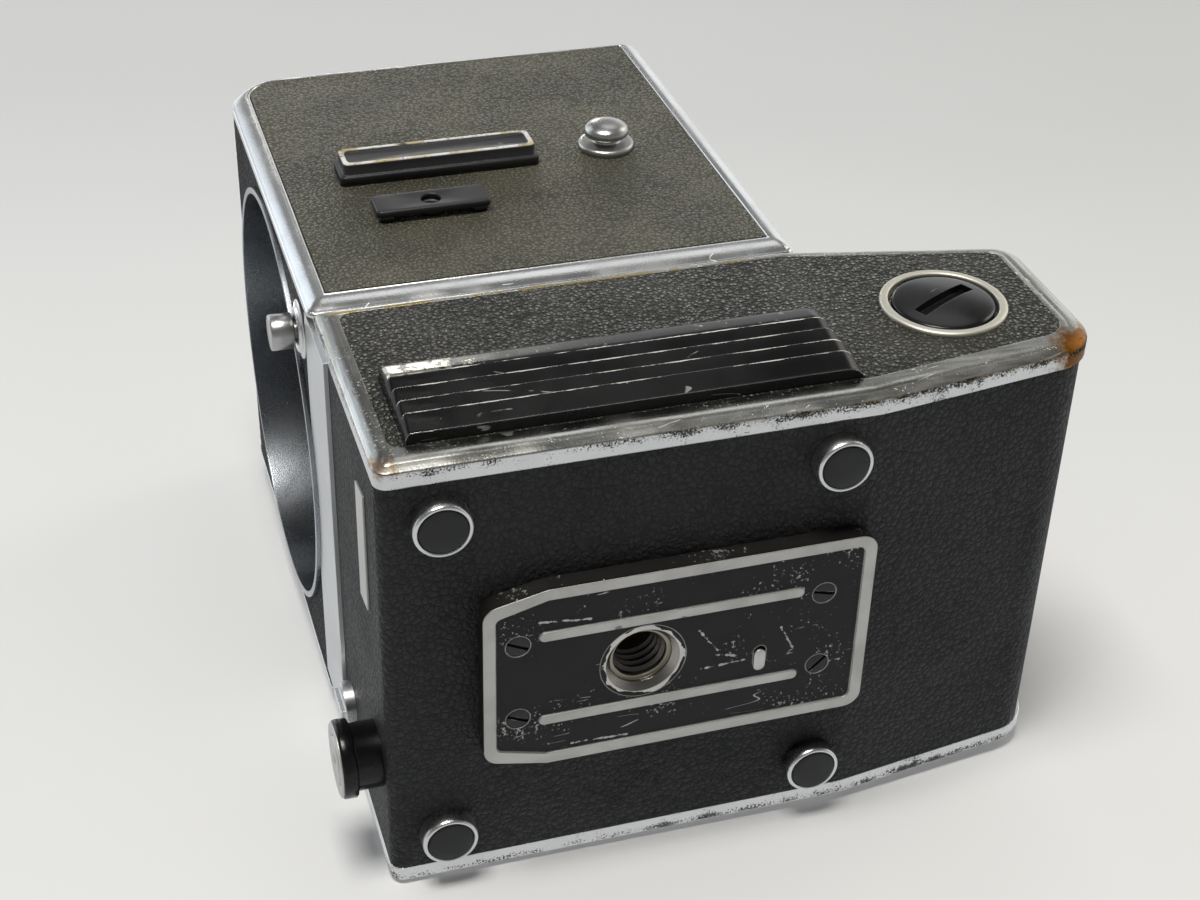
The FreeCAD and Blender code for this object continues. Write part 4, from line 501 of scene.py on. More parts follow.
def moulded(name, colour, rough, grainSize=0.0006, height=0.00003):
    # rubber, phenolic and other moulded stuff with a fine uneven skin
    material, shader, place = newMaterial(name)
    smudge = smudged(place, 0.01)[0]
    dust = chipped(place, 0.0006, 0.1)
    tone = blend(smudge * 0.5, colour, shade(colour, 1.5))
    tone = blend(dust * 0.3, tone, (0.3, 0.3, 0.28))
    wire(shader, Base_Color=tone, Roughness=smudge * 0.12 + rough,
         Normal=bumped(place.noise(grainSize, 3), height, soft=0.0002))
    return material, shader, place, tone


def assign(material, *names):
    # gives CAD nodes their material, and returns it
    for name in names:
        nodes[name].data.materials.clear()
        nodes[name].data.materials.append(material)
    return material


# the upper cloth is a lighter copy of the black leathercloth: its raised colour is a painted sheen
assign(
    leatherCloth("upper leathercloth painted sheen", (0.04, 0.038, 0.024), (0.18, 0.17, 0.115), 0.0008, 0.0005, 0.5, flat=0.3,
        glint=0.22)[0],
    "left_leathercloth", "right_leathercloth")
# the cover cloth's light pebble tops and sparks are painted glints
assign(
    leatherCloth("cover leathercloth", (0.006, 0.0057, 0.0035), (0.15, 0.145, 0.112), 0.00085, 0.0015, 0.45,
        flat=0.1, glint=0.25, paintedGlint=0.75)[0],
    "battery_cover_leathercloth", "right_cover_leathercloth")
# the front cloth is a darker copy of the black leathercloth: its lowered colour is painted shade
shadedFrontLeather = assign(
    leatherCloth("front leathercloth painted shade", (0.002, 0.002, 0.002), (0.008, 0.008, 0.0078), 0.0009, 0.0004, 0.55,
        flat=0.4, glint=0.12, sheen=0.2)[0],
    "front_leathercloth")


def baseCloth(slits):
    # soft smooth-worn cloth of the motor base, with two knife cuts ahead of the tripod plate
    material, shader, place, colour = leatherCloth(
        "base leathercloth", (0.0022, 0.0022, 0.0025), (0.0085, 0.0085, 0.009), 0.0012, 0.00015, 0.5, flat=0.5,
        sheen=0.4)
    x, y, z = split(place)
    cuts = None
    for start, slope, front, rear in slits:
        wander = (place.noise(0.003, 2) - 0.5) * 0.0006
        middle = y * slope + start * mm
        off = abs(x + wander - middle)
        width = y.ramp(front * mm, rear * mm, 0.00005, 0.00032, smooth=False)
        inside = (y > front * mm) * (y < rear * mm)
        cut = (off < width) * inside
        cuts = cut if cuts is None else cuts.most(cut)
    wire(shader, Base_Color=blend(cuts * (z < 0.001), colour, (0.001, 0.001, 0.001)))
    return material


assign(baseCloth([(9.3, -0.0734, -38.5, -27.6), (-16.2, -0.052, -37.5, -27.9)]), "base_leathercloth")

# the covers are worn through to brass at two corners of the lower rim
coverChrome = assign(
    chromeFinish("cover chrome", rough=0.15, scuff=0.6, pits=0.86, rubbed=True,
        brass=[((44.6, 81.2, 5.4), 5.2), ((45, -42.6, 2.0), 0.1)])[0],
    "battery_cover", "right_cover")
frameChrome = assign(
    chromeFinish("frame chrome", rough=0.13, scuff=0.4, pits=0.08)[0],
    "left_side_frame", "right_side_frame")
fittingChrome = assign(
    chromeFinish("fitting chrome", rough=0.16, scuff=0.25, pits=0.06)[0],
    "foot_cups", "strap_lugs", "cover_lock_ring", "lens_release_seat", "lens_release_button", "release_lock",
    "mount_screws")
studMetal = chromeFinish("satin studs", (0.47, 0.465, 0.45), rough=0.24, scuff=0.3, pits=0.06)[0]

assign(plainMetal("front band", (0.66, 0.67, 0.67), 0.3, "X", 0.25)[0], "front_band")
stripMetal = assign(
    plainMetal("bare strip", (0.6, 0.6, 0.57), 0.36, "X", 0.3)[0],
    "front_strip", "release_button", "release_ring", "tripod_bushing", "magazine_catches")
assign(plainMetal("mount sleeve", (0.33, 0.35, 0.37), 0.13, None, 0.3)[0], "lens_mount_ring")
assign(
    plainMetal("machined steel", (0.5, 0.5, 0.5), 0.3, "Y")[0],
    "hinge_pins", "drive_shaft", "motor_pinion", "magazine_drive_gear")
assign(plainMetal("gear brass", (0.62, 0.44, 0.18), 0.3, "Y")[0], "idler_gear")
assign(
    plainMetal("zinc plate", (0.46, 0.46, 0.47), 0.38, "Y")[0],
    "motor", "gear_plate", "battery_tray", "cover_lock_bracket")

grip = {"front": -38.0, "rear": 40.0, "low": 5.6, "top": 26.1, "skin": 44.2, "height": 4.35, "fall": 1.35,
        "crest": 20.5, "pitch": 3.75, "ribs": 4, "frontEase": 1.1, "rearEase": 3.6}


def gripFinish(grip):
    # glossy black, rubbed to bright metal along each crest: crests lie at crest - n pitch in Z
    material, shader, place, colour = paintedMetal(
        "grip enamel", (0.005, 0.005, 0.005), rough=0.17, wear=0.33, chips=0.1, scuff=0.5, edge=0.0003)
    x, y, z = split(place)
    count = (z - grip["crest"] * mm) / (grip["pitch"] * mm)
    off = abs(count - count.math("ROUND")) * (grip["pitch"] * mm)
    patch = place.shifted((1, 0.3, 1)).noise(0.0016, 4, 0.7)
    line = off < patch.ramp(0.42, 0.68, 0.0, 0.00013)
    high = x > (grip["skin"] + grip["height"] * 0.8) * mm
    worn = line * high * (z < 0.0215)
    # a pale bare-metal patch on the brow, growing towards the front end: partly worn paint, partly a painted highlight
    # where the brow's highlight falls
    toFront = y.ramp(-0.014, -0.034, 0.0, 0.22)
    brow = (place.noise(0.0022, 5, 0.7) + toFront).ramp(0.62, 0.72)
    brow = brow * z.ramp(0.0202, 0.0209) * (y > -0.0374)
    colour = blend(worn, colour, (0.62, 0.61, 0.57))
    bare = Value(shader.inputs["Metallic"].links[0].from_socket).most(brow)
    wire(shader, Base_Color=blend(brow, colour, (0.5, 0.48, 0.41)), Metallic=bare, Specular_IOR_Level=0.27)
    return material


def glossFinish():
    # polished black, with fine scratches and finger marks
    material, shader = paintedMetal(
        "gloss black", (0.005, 0.005, 0.005), bare=(0.2, 0.2, 0.19), rough=0.1, wear=0.0, chips=0.06, scuff=0.5)[:2]
    wire(shader, Specular_IOR_Level=0.38)
    return material


enamel = assign(
    paintedMetal("black enamel", (0.014, 0.014, 0.014), rough=0.4, wear=0.3, chips=0.02, scuff=0.15)[0],
    "motor_housing", "body_shell", "front_plate", "rear_plate", "top_plate")
anodised = assign(
    paintedMetal("worn black", (0.008, 0.008, 0.009), rough=0.34, wear=0.5, chips=0.05, scuff=0.3)[0],
    "mode_dial", "release_barrel", "screen_frame", "bayonet_flange", "nameplate", "accessory_shoe", "shoe_screw",
    "tripod_plate_screws")
assign(
    paintedMetal("matt black", (0.008, 0.008, 0.008), rough=0.75, wear=0.05, chips=0.0, scuff=0.05)[0],
    "mirror_box", "mirror_carrier", "upper_rear_flap", "lower_rear_flap")
gloss = assign(glossFinish(), "cover_lock_screw")
gripPaint = assign(gripFinish(grip), "ribbed_grip")
footRubber = assign(moulded("foot rubber", (0.007, 0.007, 0.0075), 0.55)[0], "foot_pads")
assign(moulded("phenolic", (0.09, 0.045, 0.025), 0.4)[0], "switches", "motor_cradle")
assign(moulded("cell sleeve", (0.03, 0.05, 0.12), 0.3)[0], "battery_cells")


plateMarks = {"spots": [(8.3, -4.7, 0.75), (7.9, 6.8, 0.75), (-4.6, 24.6, 0.5)],
              "lines": [((12.2, -18.3), (11.2, -9.5)), ((-15.6, -12.6), (-16.0, -2.4)), ((-4.2, 10.8), (-3.9, 18.6)),
                        ((1.9, 24.9), (-3.2, 27.5)), ((4.5, 9.8), (-0.6, 13.4)), ((-1.5, 13.0), (-2.6, 16.9))]}


def plateFinish(marked):
    # tripod plate: black field below a bare border and two bare stripes, chipped and scratched all over;
    # each line mark is the distance to a segment: |p - a - d clamp((p - a).d / d.d)|
    material, shader, place = newMaterial("tripod plate")
    z = split(place)[2]
    bare = z.ramp(-0.0033, -0.0034, smooth=False)
    side = z.ramp(-0.0031, -0.0028, smooth=False)
    chip = chipped(place, 0.0008, 0.44)
    scratch = scratched(place, 0.0045, 0.45, 0.03)
    worn = edgeWear(place, 0.0005, 0.42, 0.002)
    marks = chip.most(scratch.most(worn))
    grit = place.noise(0.0009, 4, 0.7)
    for start, end in marked["lines"]:
        a, b = (Vector((x * mm, y * mm, -0.0032)) for x, y in (start, end))
        toward = b - a
        offset = place.vector("SUBTRACT", tuple(a))
        along = offset.vector("DOT_PRODUCT", tuple(toward / toward.length_squared))
        nearest = put(place.tree, "ShaderNodeVectorMath", {0: tuple(toward), "Scale": (along + 0.0).clamped()},
                      operation="SCALE")
        apart = offset.vector("DISTANCE", nearest)
        marks = marks.most(apart < grit.ramp(0.42, 0.62, 0.0, 0.00028))
    mask = bare.most(marks)
    for x, y, radius in marked["spots"]:
        offset = place.vector("DISTANCE", (x * mm, y * mm, -0.0035))
        spot = (grit * 0.0005 + offset).ramp(radius * mm + 0.0003, radius * mm - 0.0001)
        mask = (spot * bare * -0.6 + mask).clamped()
    smudge, fine = smudged(place, 0.008)
    stained = blend(smudge * 0.35, (0.5, 0.49, 0.46), (0.33, 0.32, 0.29))
    black = blend(side, (0.005, 0.005, 0.0055), (0.012, 0.011, 0.010))
    wire(shader, Base_Color=blend(mask, black, stained), Metallic=mask * 0.9, Specular_IOR_Level=0.25,
         Roughness=smudge * 0.15 + 0.36, Normal=bumped(marks * -1.0 + fine, 0.00003, soft=0.0003))
    return material


assign(plateFinish(plateMarks), "tripod_plate")


def mirrorFinish():
    material, shader, place = newMaterial("mirror silver")
    smudge = smudged(place, 0.02)[0]
    dust = chipped(place, 0.0006, 0.2)
    wire(shader, Base_Color=blend(dust, (0.84, 0.85, 0.85), (0.4, 0.4, 0.38)), Metallic=1.0,
         Roughness=smudge * 0.03 + 0.02)
    return material


def screenFinish():
    # ground glass with a fine cross of ruled lines
    material, shader, place = newMaterial("focusing screen")
    x, y, _ = split(place)
    middle = y - 0.004
    cross = abs(x).least(abs(middle))
    line = cross < 0.00012
    ground = place.noise(0.00015, 2)
    tone = blend(place.noise(0.01).ramp(0.3, 0.7), (0.62, 0.65, 0.63), (0.7, 0.72, 0.7))
    wire(shader, Base_Color=blend(line, tone, (0.02, 0.02, 0.02)), Roughness=0.32, Transmission_Weight=0.35,
         Normal=bumped(ground, 0.00002))
    return material


assign(mirrorFinish(), "mirror_glass")
assign(screenFinish(), "focusing_screen")
print("finishes assigned")


rails = {"front": -45.0, "rear": 46.0, "low": 52.0, "top": 150.0, "inset": (4.4, 3.8, 5.6, 1.5), "brow": 12.0,
         "browInner": 7.6, "heel": 2.0, "face": 44.0, "depth": 1.8, "crown": 0.16, "inner": 0.3, "outer": 1.0,
         "round": 0.8}


def cornerRing(corners, radii, arc=9, run=8):
    # a polygon in Y and Z with a radius at each corner: the arc's centre lies r / sin(h) along the bisector and its
    # ends r / tan(h) along the edges, where h is half the corner's angle; every corner and run has as many points
    arcs = []
    for index, (corner, radius) in enumerate(zip(corners, radii)):
        spot = np.array(corner, float)
        before = np.array(corners[index - 1], float) - spot
        after = np.array(corners[(index + 1) % len(corners)], float) - spot
        before, after = before / np.linalg.norm(before), after / np.linalg.norm(after)
        half = math.acos(float(np.clip(before @ after, -1, 1))) / 2
        middle = spot + (before + after) / np.linalg.norm(before + after) * radius / math.sin(half)
        first, last = (spot + side * radius / math.tan(half) - middle for side in (before, after))
        start = math.atan2(first[1], first[0])
        sweep = (math.atan2(last[1], last[0]) - start + math.pi) % (2 * math.pi) - math.pi
        angle = start + sweep * np.linspace(0, 1, arc)
        arcs.append(middle + radius * np.stack([np.cos(angle), np.sin(angle)], axis=-1))
    share = np.concatenate([[0.004, 0.02], np.linspace(0.06, 0.94, run), [0.98, 0.996]])[:, None]
    runs = [a[-1] + (b[0] - a[-1]) * share for a, b in zip(arcs, arcs[1:] + arcs[:1])]
    return np.concatenate([part for pair in zip(arcs, runs) for part in pair])


def boxCorners(front, rear, low, top):
    return [(front, low), (rear, low), (rear, top), (front, top)]


def makeSideFrames(rails):
    # a rail section between the inner and the outer outline: height = crown - inner (1 - s / 0.24)^2 up to the crown,
    # then crown - outer ((s - 0.24) / 0.66)^2, and a quarter ellipse down to the outer edge
    heel, deep = rails["heel"], -rails["depth"]
    front, rear, low, top = pick(rails, "front", "rear", "low", "top")
    inset = rails["inset"]
    outer = cornerRing(boxCorners(front, rear, low, top), (heel, heel, heel, rails["brow"]))
    inner = cornerRing(boxCorners(front + inset[0], rear - inset[1], low + inset[2], top - inset[3]),
                       (0.25, 0.25, 0.25, rails["browInner"]))
    s = np.concatenate([[0.02], np.linspace(0.06, 0.9, 15)])
    a = np.linspace(0, math.pi / 2, 8)
    inside, outside = np.clip(1 - s / 0.24, 0, 1), np.clip((s - 0.24) / 0.66, 0, 1)
    crown = rails["crown"] - rails["inner"] * inside ** 2 - rails["outer"] * outside ** 2
    crown[0] -= 0.12
    share = np.concatenate([[0.0], s, 0.9 + 0.1 * np.sin(a[1:]), [1.0]])[:, None, None]
    height = np.concatenate([[deep], crown, crown[-1] - rails["round"] * (1 - np.cos(a[1:])), [deep]])[:, None]
    outline = inner + (outer - inner) * share
    for side, name in ((1, "left"), (-1, "right")):
        loops = onAxis("X", (0, 0, 0), side * (rails["face"] + height), outline[..., 0], outline[..., 1])
        addPiece(name + "_rails", [surface(loops, wrapRows=True)], frameChrome, "bright_chrome",
                 name + "_side_frame", sharp=45)


makeSideFrames(rails)

strapLug = {"y": 24.3, "z": 101.0, "flange": 5.6, "neck": 2.6, "head": 4.4}


def makeStrapLugs(lug):
    # flange, neck and domed head: one (radius, height) profile turned about X on each side of the body
    flange, neck, head = lug["flange"], lug["neck"], lug["head"]
    profile = [(flange, 0), (flange, 0.85), (flange - 0.1, 1.15), (flange - 0.4, 1.36), (flange - 0.9, 1.42),
               (neck + 0.5, 1.42), (neck + 0.1, 1.5), (neck, 1.8), (neck, 2.5), (neck + 0.15, 2.76),
               (head - 0.5, 2.8), (head - 0.12, 2.94), (head, 3.2), (head, 3.8), (head - 0.1, 4.2),
               (head - 0.4, 4.6), (head - 0.9, 4.95), (head - 1.7, 5.3), (head - 2.7, 5.52), (head - 3.6, 5.6)]
    sides = [turned(profile, "X", (side * 44.0, lug["y"], lug["z"]), side) for side in (1, -1)]
    addPiece("strap_lug_studs", sides, studMetal, "bright_chrome", "strap_lugs")


makeStrapLugs(strapLug)

namePlate = {"y": -10.4, "z": 100.8, "halfLong": 19.8, "halfHigh": 4.4, "step": 0.7, "foot": 1.9, "top": 4.2,
             "rim": 1.05, "sunk": 0.4}


def makeNameplate(plate):
    # two stepped rounded blocks with a sunk field: rounded rectangles stacked along X
    long, high, step, foot, top = pick(plate, "halfLong", "halfHigh", "step", "foot", "top")
    capLong, capHigh = long - step, high - step
    fieldLong, fieldHigh = capLong - plate["rim"], capHigh - plate["rim"]
    floor = top - plate["sunk"]
    levels = [(0, long, high, 1.2), (foot - 0.3, long, high, 1.2), (foot - 0.08, long - 0.1, high - 0.1, 1.15),
              (foot, long - 0.3, high - 0.3, 1.1), (foot, capLong + 0.12, capHigh + 0.12, 1.25),
              (foot + 0.12, capLong, capHigh, 1.2), (top - 0.4, capLong, capHigh, 1.2),
              (top - 0.1, capLong - 0.12, capHigh - 0.12, 1.15), (top, capLong - 0.35, capHigh - 0.35, 1.1),
              (top - 0.02, fieldLong + 0.08, fieldHigh + 0.08, 1.3), (top - 0.12, fieldLong, fieldHigh, 1.3),
              (floor + 0.1, fieldLong - 0.02, fieldHigh - 0.02, 1.3), (floor, fieldLong - 0.15, fieldHigh - 0.15, 1.2)]
    addPiece("nameplate_block", [stacked(levels, "X", (44.0, plate["y"], plate["z"]))], nameplateFinish(plate),
             "black_anodised", "nameplate")


def nameplateFinish(plate):
    # black over brass: the raised rim is rubbed bright, with brass at its corners
    material, shader, place, colour = paintedMetal(
        "nameplate black", paint=(0.010, 0.010, 0.011), rough=0.3, wear=0.46, chips=0.06, scuff=0.5, edge=0.0005)
    x = split(place)[0]
    rimX = (44.0 + plate["top"] - 0.16) * mm
    onRim = x.ramp(rimX, rimX + 0.00012, smooth=False)
    patch = place.noise(0.0045, 4, 0.6).ramp(0.3, 0.44)
    grit = place.noise(0.0006, 3).ramp(0.28, 0.42)
    rubbed = onRim * patch * grit
    yellow = place.noise(0.006, 2).ramp(0.45, 0.6)
    metal = blend(yellow, (0.62, 0.61, 0.57), (0.42, 0.33, 0.16))
    wire(shader, Base_Color=blend(rubbed, colour, metal))
    return material


makeNameplate(namePlate)

accessoryShoe = {"y": -15.7, "z": 83.2, "halfLong": 10.9, "halfHigh": 3.6, "low": 1.3, "top": 2.6, "hole": 1.9}


def makeShoe(shoe):
    # a rounded plate with a hole, on two feet and a hollow boss, stacked and turned along X
    long, high, low, top, hole = pick(shoe, "halfLong", "halfHigh", "low", "top", "hole")
    levels = [(low, long - 0.15, high - 0.15, 0.95), (low + 0.15, long, high, 1.0), (top - 0.3, long, high, 1.0),
              (top - 0.08, long - 0.1, high - 0.1, 1.0), (top, long - 0.35, high - 0.35, 0.9),
              (top, hole + 0.3, hole + 0.3, hole + 0.3), (top - 0.12, hole + 0.05, hole + 0.05, hole + 0.05),
              (top - 0.3, hole, hole, hole), (low + 0.1, hole, hole, hole), (low, hole + 0.1, hole + 0.1, hole + 0.1)]
    centre = (44.0, shoe["y"], shoe["z"])
    parts = [stacked(levels, "X", centre, wrapRows=True)]
    for offset in (-8.9, 8.9):
        foot = [(0, 1.4, 3.0, 0.4), (low + 0.02, 1.4, 3.0, 0.4)]
        parts.append(stacked(foot, "X", (44.0, shoe["y"] + offset, shoe["z"])))
    parts.append(turned([(2.6, 0), (2.6, low), (hole, low), (hole, 0)], "X", centre, wrapRows=True))
    addPiece("shoe_plate", parts, anodised, "black_anodised", "accessory_shoe")


makeShoe(accessoryShoe)

modeDial = {"y": 44.0, "z": 25.0, "face": 45.0, "radius": 11.0, "shaft": 2.0, "marks": 13.0,
            "dots": [(-60, 0.55), (-30, 0.55), (0, 0.85), (30, 0.55), (60, 0.55)]}


def scaleFinish(dial):
    # satin plate with filled index dots: spots on a circle about the dial's axis
    material, shader, place, colour = plainMetal("dial scale", (0.6, 0.6, 0.58), 0.34, None, 0.3)
    marks = None
    for degrees, radius in dial["dots"]:
        turn = math.radians(degrees)
        spot = (-45.5 * mm, (dial["y"] + dial["marks"] * math.sin(turn)) * mm,
                (dial["z"] + dial["marks"] * math.cos(turn)) * mm)
        apart = place.vector("DISTANCE", spot)
        mark = apart < radius * mm
        marks = mark if marks is None else marks.most(mark)
    wire(shader, Base_Color=blend(marks, colour, (0.01, 0.01, 0.01)), Metallic=1.0 - marks)
    return material


def dialFinish(dial):
    # worn black with a white index line on the upper end of the bar
    material, shader, place, colour = paintedMetal(
        "dial black", (0.012, 0.012, 0.013), rough=0.36, wear=0.5, chips=0.08, scuff=0.4)
    x, y, z = split(place)
    off = abs(y - dial["y"] * mm)
    line = (off < 0.00028) * (z > (dial["z"] + 5.5) * mm)
    line = line * (x < -0.0465)
    wire(shader, Base_Color=blend(line, colour, (0.75, 0.74, 0.7)))
    return material


def makeModeDial(dial):
    # a dished disc with a fluted edge, radius 11 (1 + 0.006 cos 48 a), and a rounded bar across it
    shaft, radius = dial["shaft"], dial["radius"]
    centre = (-dial["face"], dial["y"], dial["z"])
    profile = np.array([(shaft, -8.0), (shaft, 0.6), (radius, 0.6), (radius, 1.02), (radius - 0.12, 1.14),
                        (radius - 0.4, 1.15), (radius - 1.0, 1.0), (4.0, 0.86), (0.5, 0.85)])
    angle = np.linspace(0, 2 * math.pi, 384, endpoint=False)[None, :]
    fluted = (profile[:, :1] > radius - 0.3) * 0.006 * (np.cos(48 * angle) - 1)
    reach = profile[:, :1] * (1 + fluted)
    disc = surface(onAxis("X", centre, -profile[:, 1:], reach * np.cos(angle), reach * np.sin(angle)))
    levels = [(0.7, 1.5, 10.3, 0.7), (1.2, 1.48, 10.3, 0.7), (1.45, 1.36, 10.2, 0.62), (1.57, 1.12, 9.95, 0.5),
              (1.6, 0.8, 9.6, 0.4)]
    addPiece("mode_knob", [disc, stacked(levels, "X", centre, -1)], dialFinish(dial), "black_anodised", "mode_dial",
             body="mode_dial", sharp=50)


assign(scaleFinish(modeDial), "mode_scale_plate")
makeModeDial(modeDial)
print("side fittings made")


rim = {"outer": [(-44, 0), (41.3, 0), (84.3, 6), (84.3, 41.3), (41.3, 50.5), (-44, 50.5)],
       "inner": [(-40.4, 5.2), (41.3, 5.2), (80.9, 10.73), (80.9, 39.43), (41.3, 47.9), (-40.4, 47.9)],
       "outerRadii": (2.4, 12, 9.0, 5.0, 12, 0.7), "innerRadii": (2.6, 12, 5.6, 2.6, 12, 2.6),
       "face": 45.0, "base": 41.0, "skin": 44.2, "drop": 1.05, "lip": 0.36, "corner": 0.5}


def makeCoverRims(rim):
    # the rim's section between the inner and the outer outline: height = -lip (1 - s / 0.26)^2 up to the crown, then
    # -drop ((s - 0.26) / 0.74)^2, a small round and a flat side band
    outer = cornerRing(rim["outer"], rim["outerRadii"], 10, 12)
    inner = cornerRing(rim["inner"], rim["innerRadii"], 10, 12)
    s = np.concatenate([[0.015], np.linspace(0.05, 0.93, 14)])
    turn = np.radians(np.linspace(24, 90, 6))
    bottom = rim["base"] - rim["face"]
    inside, outside = np.clip(1 - s / 0.26, 0, 1), np.clip((s - 0.26) / 0.74, 0, 1)
    fall = rim["lip"] * inside ** 2 + rim["drop"] * outside ** 2
    fall[0] += 0.1
    share = np.concatenate([[0.0], s, 0.93 + 0.07 * (np.sin(turn) - 0.407) / 0.593, [1.0]])
    height = np.concatenate([[rim["skin"] - rim["face"] - 0.3], -fall,
                             -fall[-1] - rim["corner"] * (0.914 - np.cos(turn)), [bottom + 0.02]])[:, None]
    # the last two levels stand a hair outside the cover's own side
    outline = inner + (outer - inner) * np.minimum(share, 1.0)[:, None, None]
    centre = np.array([(rim["outer"][0][0] + rim["outer"][2][0]) / 2, rim["outer"][5][1] / 2])
    push = 1 + 0.0006 * (share > 0.97)[:, None, None]
    outline = centre + (outline - centre) * push
    under = inner[None] + (outer - inner)[None] * 0.5
    outline = np.concatenate([outline, under])
    height = np.concatenate([height, [[bottom + 0.02]]])
    for side, name, body in ((1, "left_cover_rim", "battery_cover"), (-1, "right_cover_rim", "camera_body")):
        loops = onAxis("X", (0, 0, 0), side * (rim["face"] + height), outline[..., 0], outline[..., 1])
        addPiece(name, [surface(loops, wrapRows=True)], coverChrome, "bright_chrome", body=body, sharp=45)


makeCoverRims(rim)


def makeGrip(grip):
    # a section of height over Z, a gently sloped brow and then ribs that fall away below each crest,
    # carried along Y and scaled to nothing at the ends along a quarter ellipse
    height = grip["height"]
    brow = [(0.0, 1.0), (0.25, 1.0), (0.5, 0.985), (0.67, 0.94), (0.77, 0.87), (0.835, 0.76), (0.875, 0.62),
            (0.93, 0.36), (0.975, 0.15)]
    section = [(height * share, grip["crest"] + 0.25 + (grip["top"] - grip["crest"] - 0.25) * reach)
               for share, reach in brow]
    for rib in range(grip["ribs"]):
        crest = grip["crest"] - rib * grip["pitch"]
        foot = max(crest - grip["pitch"] + 0.35, grip["low"])
        section += [(height, crest + 0.12), (height - 0.05, crest - 0.06), (height - grip["fall"] * 0.42, crest - 1.4),
                    (height - grip["fall"], foot + 0.15), (height - grip["fall"] - 0.05, foot)]
    section += [(height - grip["fall"] - 0.1, grip["low"]), (0.0, grip["low"])]
    section = np.array(section)
    closed = np.concatenate([section, [(0.0, grip["low"] + 8), (0.0, grip["top"] - 6)]])
    frontSteps = np.array([0, 0.08, 0.3, 0.6, 1.0])
    rearSteps = 1 - np.cos(np.linspace(0, math.pi / 2, 12))
    length = grip["rear"] - grip["front"]
    along = np.concatenate([frontSteps * grip["frontEase"], np.linspace(0.1, 0.9, 9) * length,
                            length - (1 - rearSteps) * grip["rearEase"]])
    along = np.unique(np.clip(along, 0, length))
    toFront = np.clip(along / grip["frontEase"], 0, 1)
    toRear = np.clip((length - along) / grip["rearEase"], 0, 1)
    share = np.sqrt(1 - (1 - toFront) ** 2) * np.sqrt(1 - (1 - toRear) ** 2)
    share = np.maximum(share, 0.002)[:, None]
    depth = np.maximum(closed[None, :, 0] * share, 0)
    y = np.broadcast_to((grip["front"] + along)[:, None], depth.shape)
    z = np.broadcast_to(closed[None, :, 1], depth.shape)
    loops = np.stack([grip["skin"] + depth, y, z], axis=-1)
    addPiece("louvred_grip", [surface(loops)], gripPaint, "grip_enamel", "ribbed_grip", body="battery_cover", sharp=32)


makeGrip(grip)

coverLock = {"centre": (45.0, 62.8, 24.5), "ring": (11.3, 9.75), "disc": 9.1, "slot": (1.7, 6.7, 1.35), "turn": 28}


def makeCoverLock(lock):
    outer, inner = lock["ring"]
    ringProfile = [(outer, -0.8), (outer, 0.3), (outer - 0.08, 0.5), (outer - 0.3, 0.66), (outer - 0.6, 0.7),
                   (inner + 0.35, 0.7), (inner + 0.1, 0.62), (inner, 0.4), (inner, -0.8)]
    ring = turned(ringProfile, "X", lock["centre"], steps=96, wrapRows=True)
    addPiece("lock_ring", [ring], ringFinish, "bright_chrome", "cover_lock_ring", body="battery_cover")
    disc = lock["disc"]
    # stem and domed disc: the dome's height falls as the square of the radius, then rolls over at the rim
    radii = np.array([0.4, 1.6, 3.0, 4.4, 5.8, 7.0, 7.9, 8.5])
    dome = [(r, 1.35 - 0.88 * (r / disc) ** 2.2) for r in radii[::-1]]
    profile = [(3.0, -12.0), (3.0, -1.8), (disc, -1.8), (disc, 0.22), (disc - 0.05, 0.36), (disc - 0.2, 0.46),
               (disc - 0.4, 0.53)] + dome
    x, y, z = lock["centre"]
    addPiece("lock_disc", [turned(profile, "X", lock["centre"], steps=96)], gloss, "gloss_black", "cover_lock_screw",
             body="cover_lock", sharp=40, cutter=slotCutter([(x + 1.4, y, z, lock["turn"])], lock["slot"], "X"))


ringFinish = chromeFinish("lock ring", (0.66, 0.635, 0.55), rough=0.42, scuff=0.4, pits=0.3)[0]
makeCoverLock(coverLock)
print("grip and lock made")


feet = {"x": 33.7, "y": 34.0, "cup": 5.0, "pad": 4.1}


def makeFeet(feet):
    cup, pad = feet["cup"], feet["pad"]
    cupProfile = [(cup, 0), (cup, 2.3), (cup - 0.05, 2.8), (cup - 0.2, 3.15), (cup - 0.4, 3.28), (cup - 0.6, 3.28),
                  (pad + 0.12, 3.15), (pad + 0.04, 2.9), (pad + 0.04, 1.6)]
    padProfile = [(pad, 1.6), (pad, 2.95), (pad - 0.06, 3.12), (pad - 0.25, 3.26), (pad - 0.7, 3.36),
                  (pad - 1.6, 3.44), (pad - 2.6, 3.48), (0.5, 3.5)]
    spots = [(sx * feet["x"], sy * feet["y"], 0) for sx in (-1, 1) for sy in (-1, 1)]
    for name, profile, material, slot, node in (
            ("foot_shells", cupProfile, fittingChrome, "bright_chrome", "foot_cups"),
            ("foot_discs", padProfile, footRubber, "foot_rubber", "foot_pads")):
        addPiece(name, [turned(profile, "Z", spot, -1) for spot in spots], material, slot, node)


makeFeet(feet)

plateScrews = {"spots": [(7.9, -22.0, 116.6), (-7.9, -22.0, 114.4), (7.9, 32.4, 105.7), (-7.9, 32.4, 46.2)],
               "head": 2.1, "shank": 1.2, "slot": (0.75, 2.4, 0.3)}


def makePlateScrews(screws):
    head, shank = screws["head"], screws["shank"]
    profile = [(shank, -2.5), (shank, 2.1), (head, 2.1), (head, 3.0), (head - 0.08, 3.12), (head - 0.3, 3.17),
               (head - 1.0, 3.2), (0.4, 3.2)]
    heads = [turned(profile, "Z", (x, y, 0), -1, 48) for x, y, turn in screws["spots"]]
    slots = slotCutter([(x, y, -3.3, turn) for x, y, turn in screws["spots"]], screws["slot"], "Z")
    addPiece("slotted_screws", heads, screwBlack, "black_anodised", "tripod_plate_screws", sharp=40, cutter=slots)


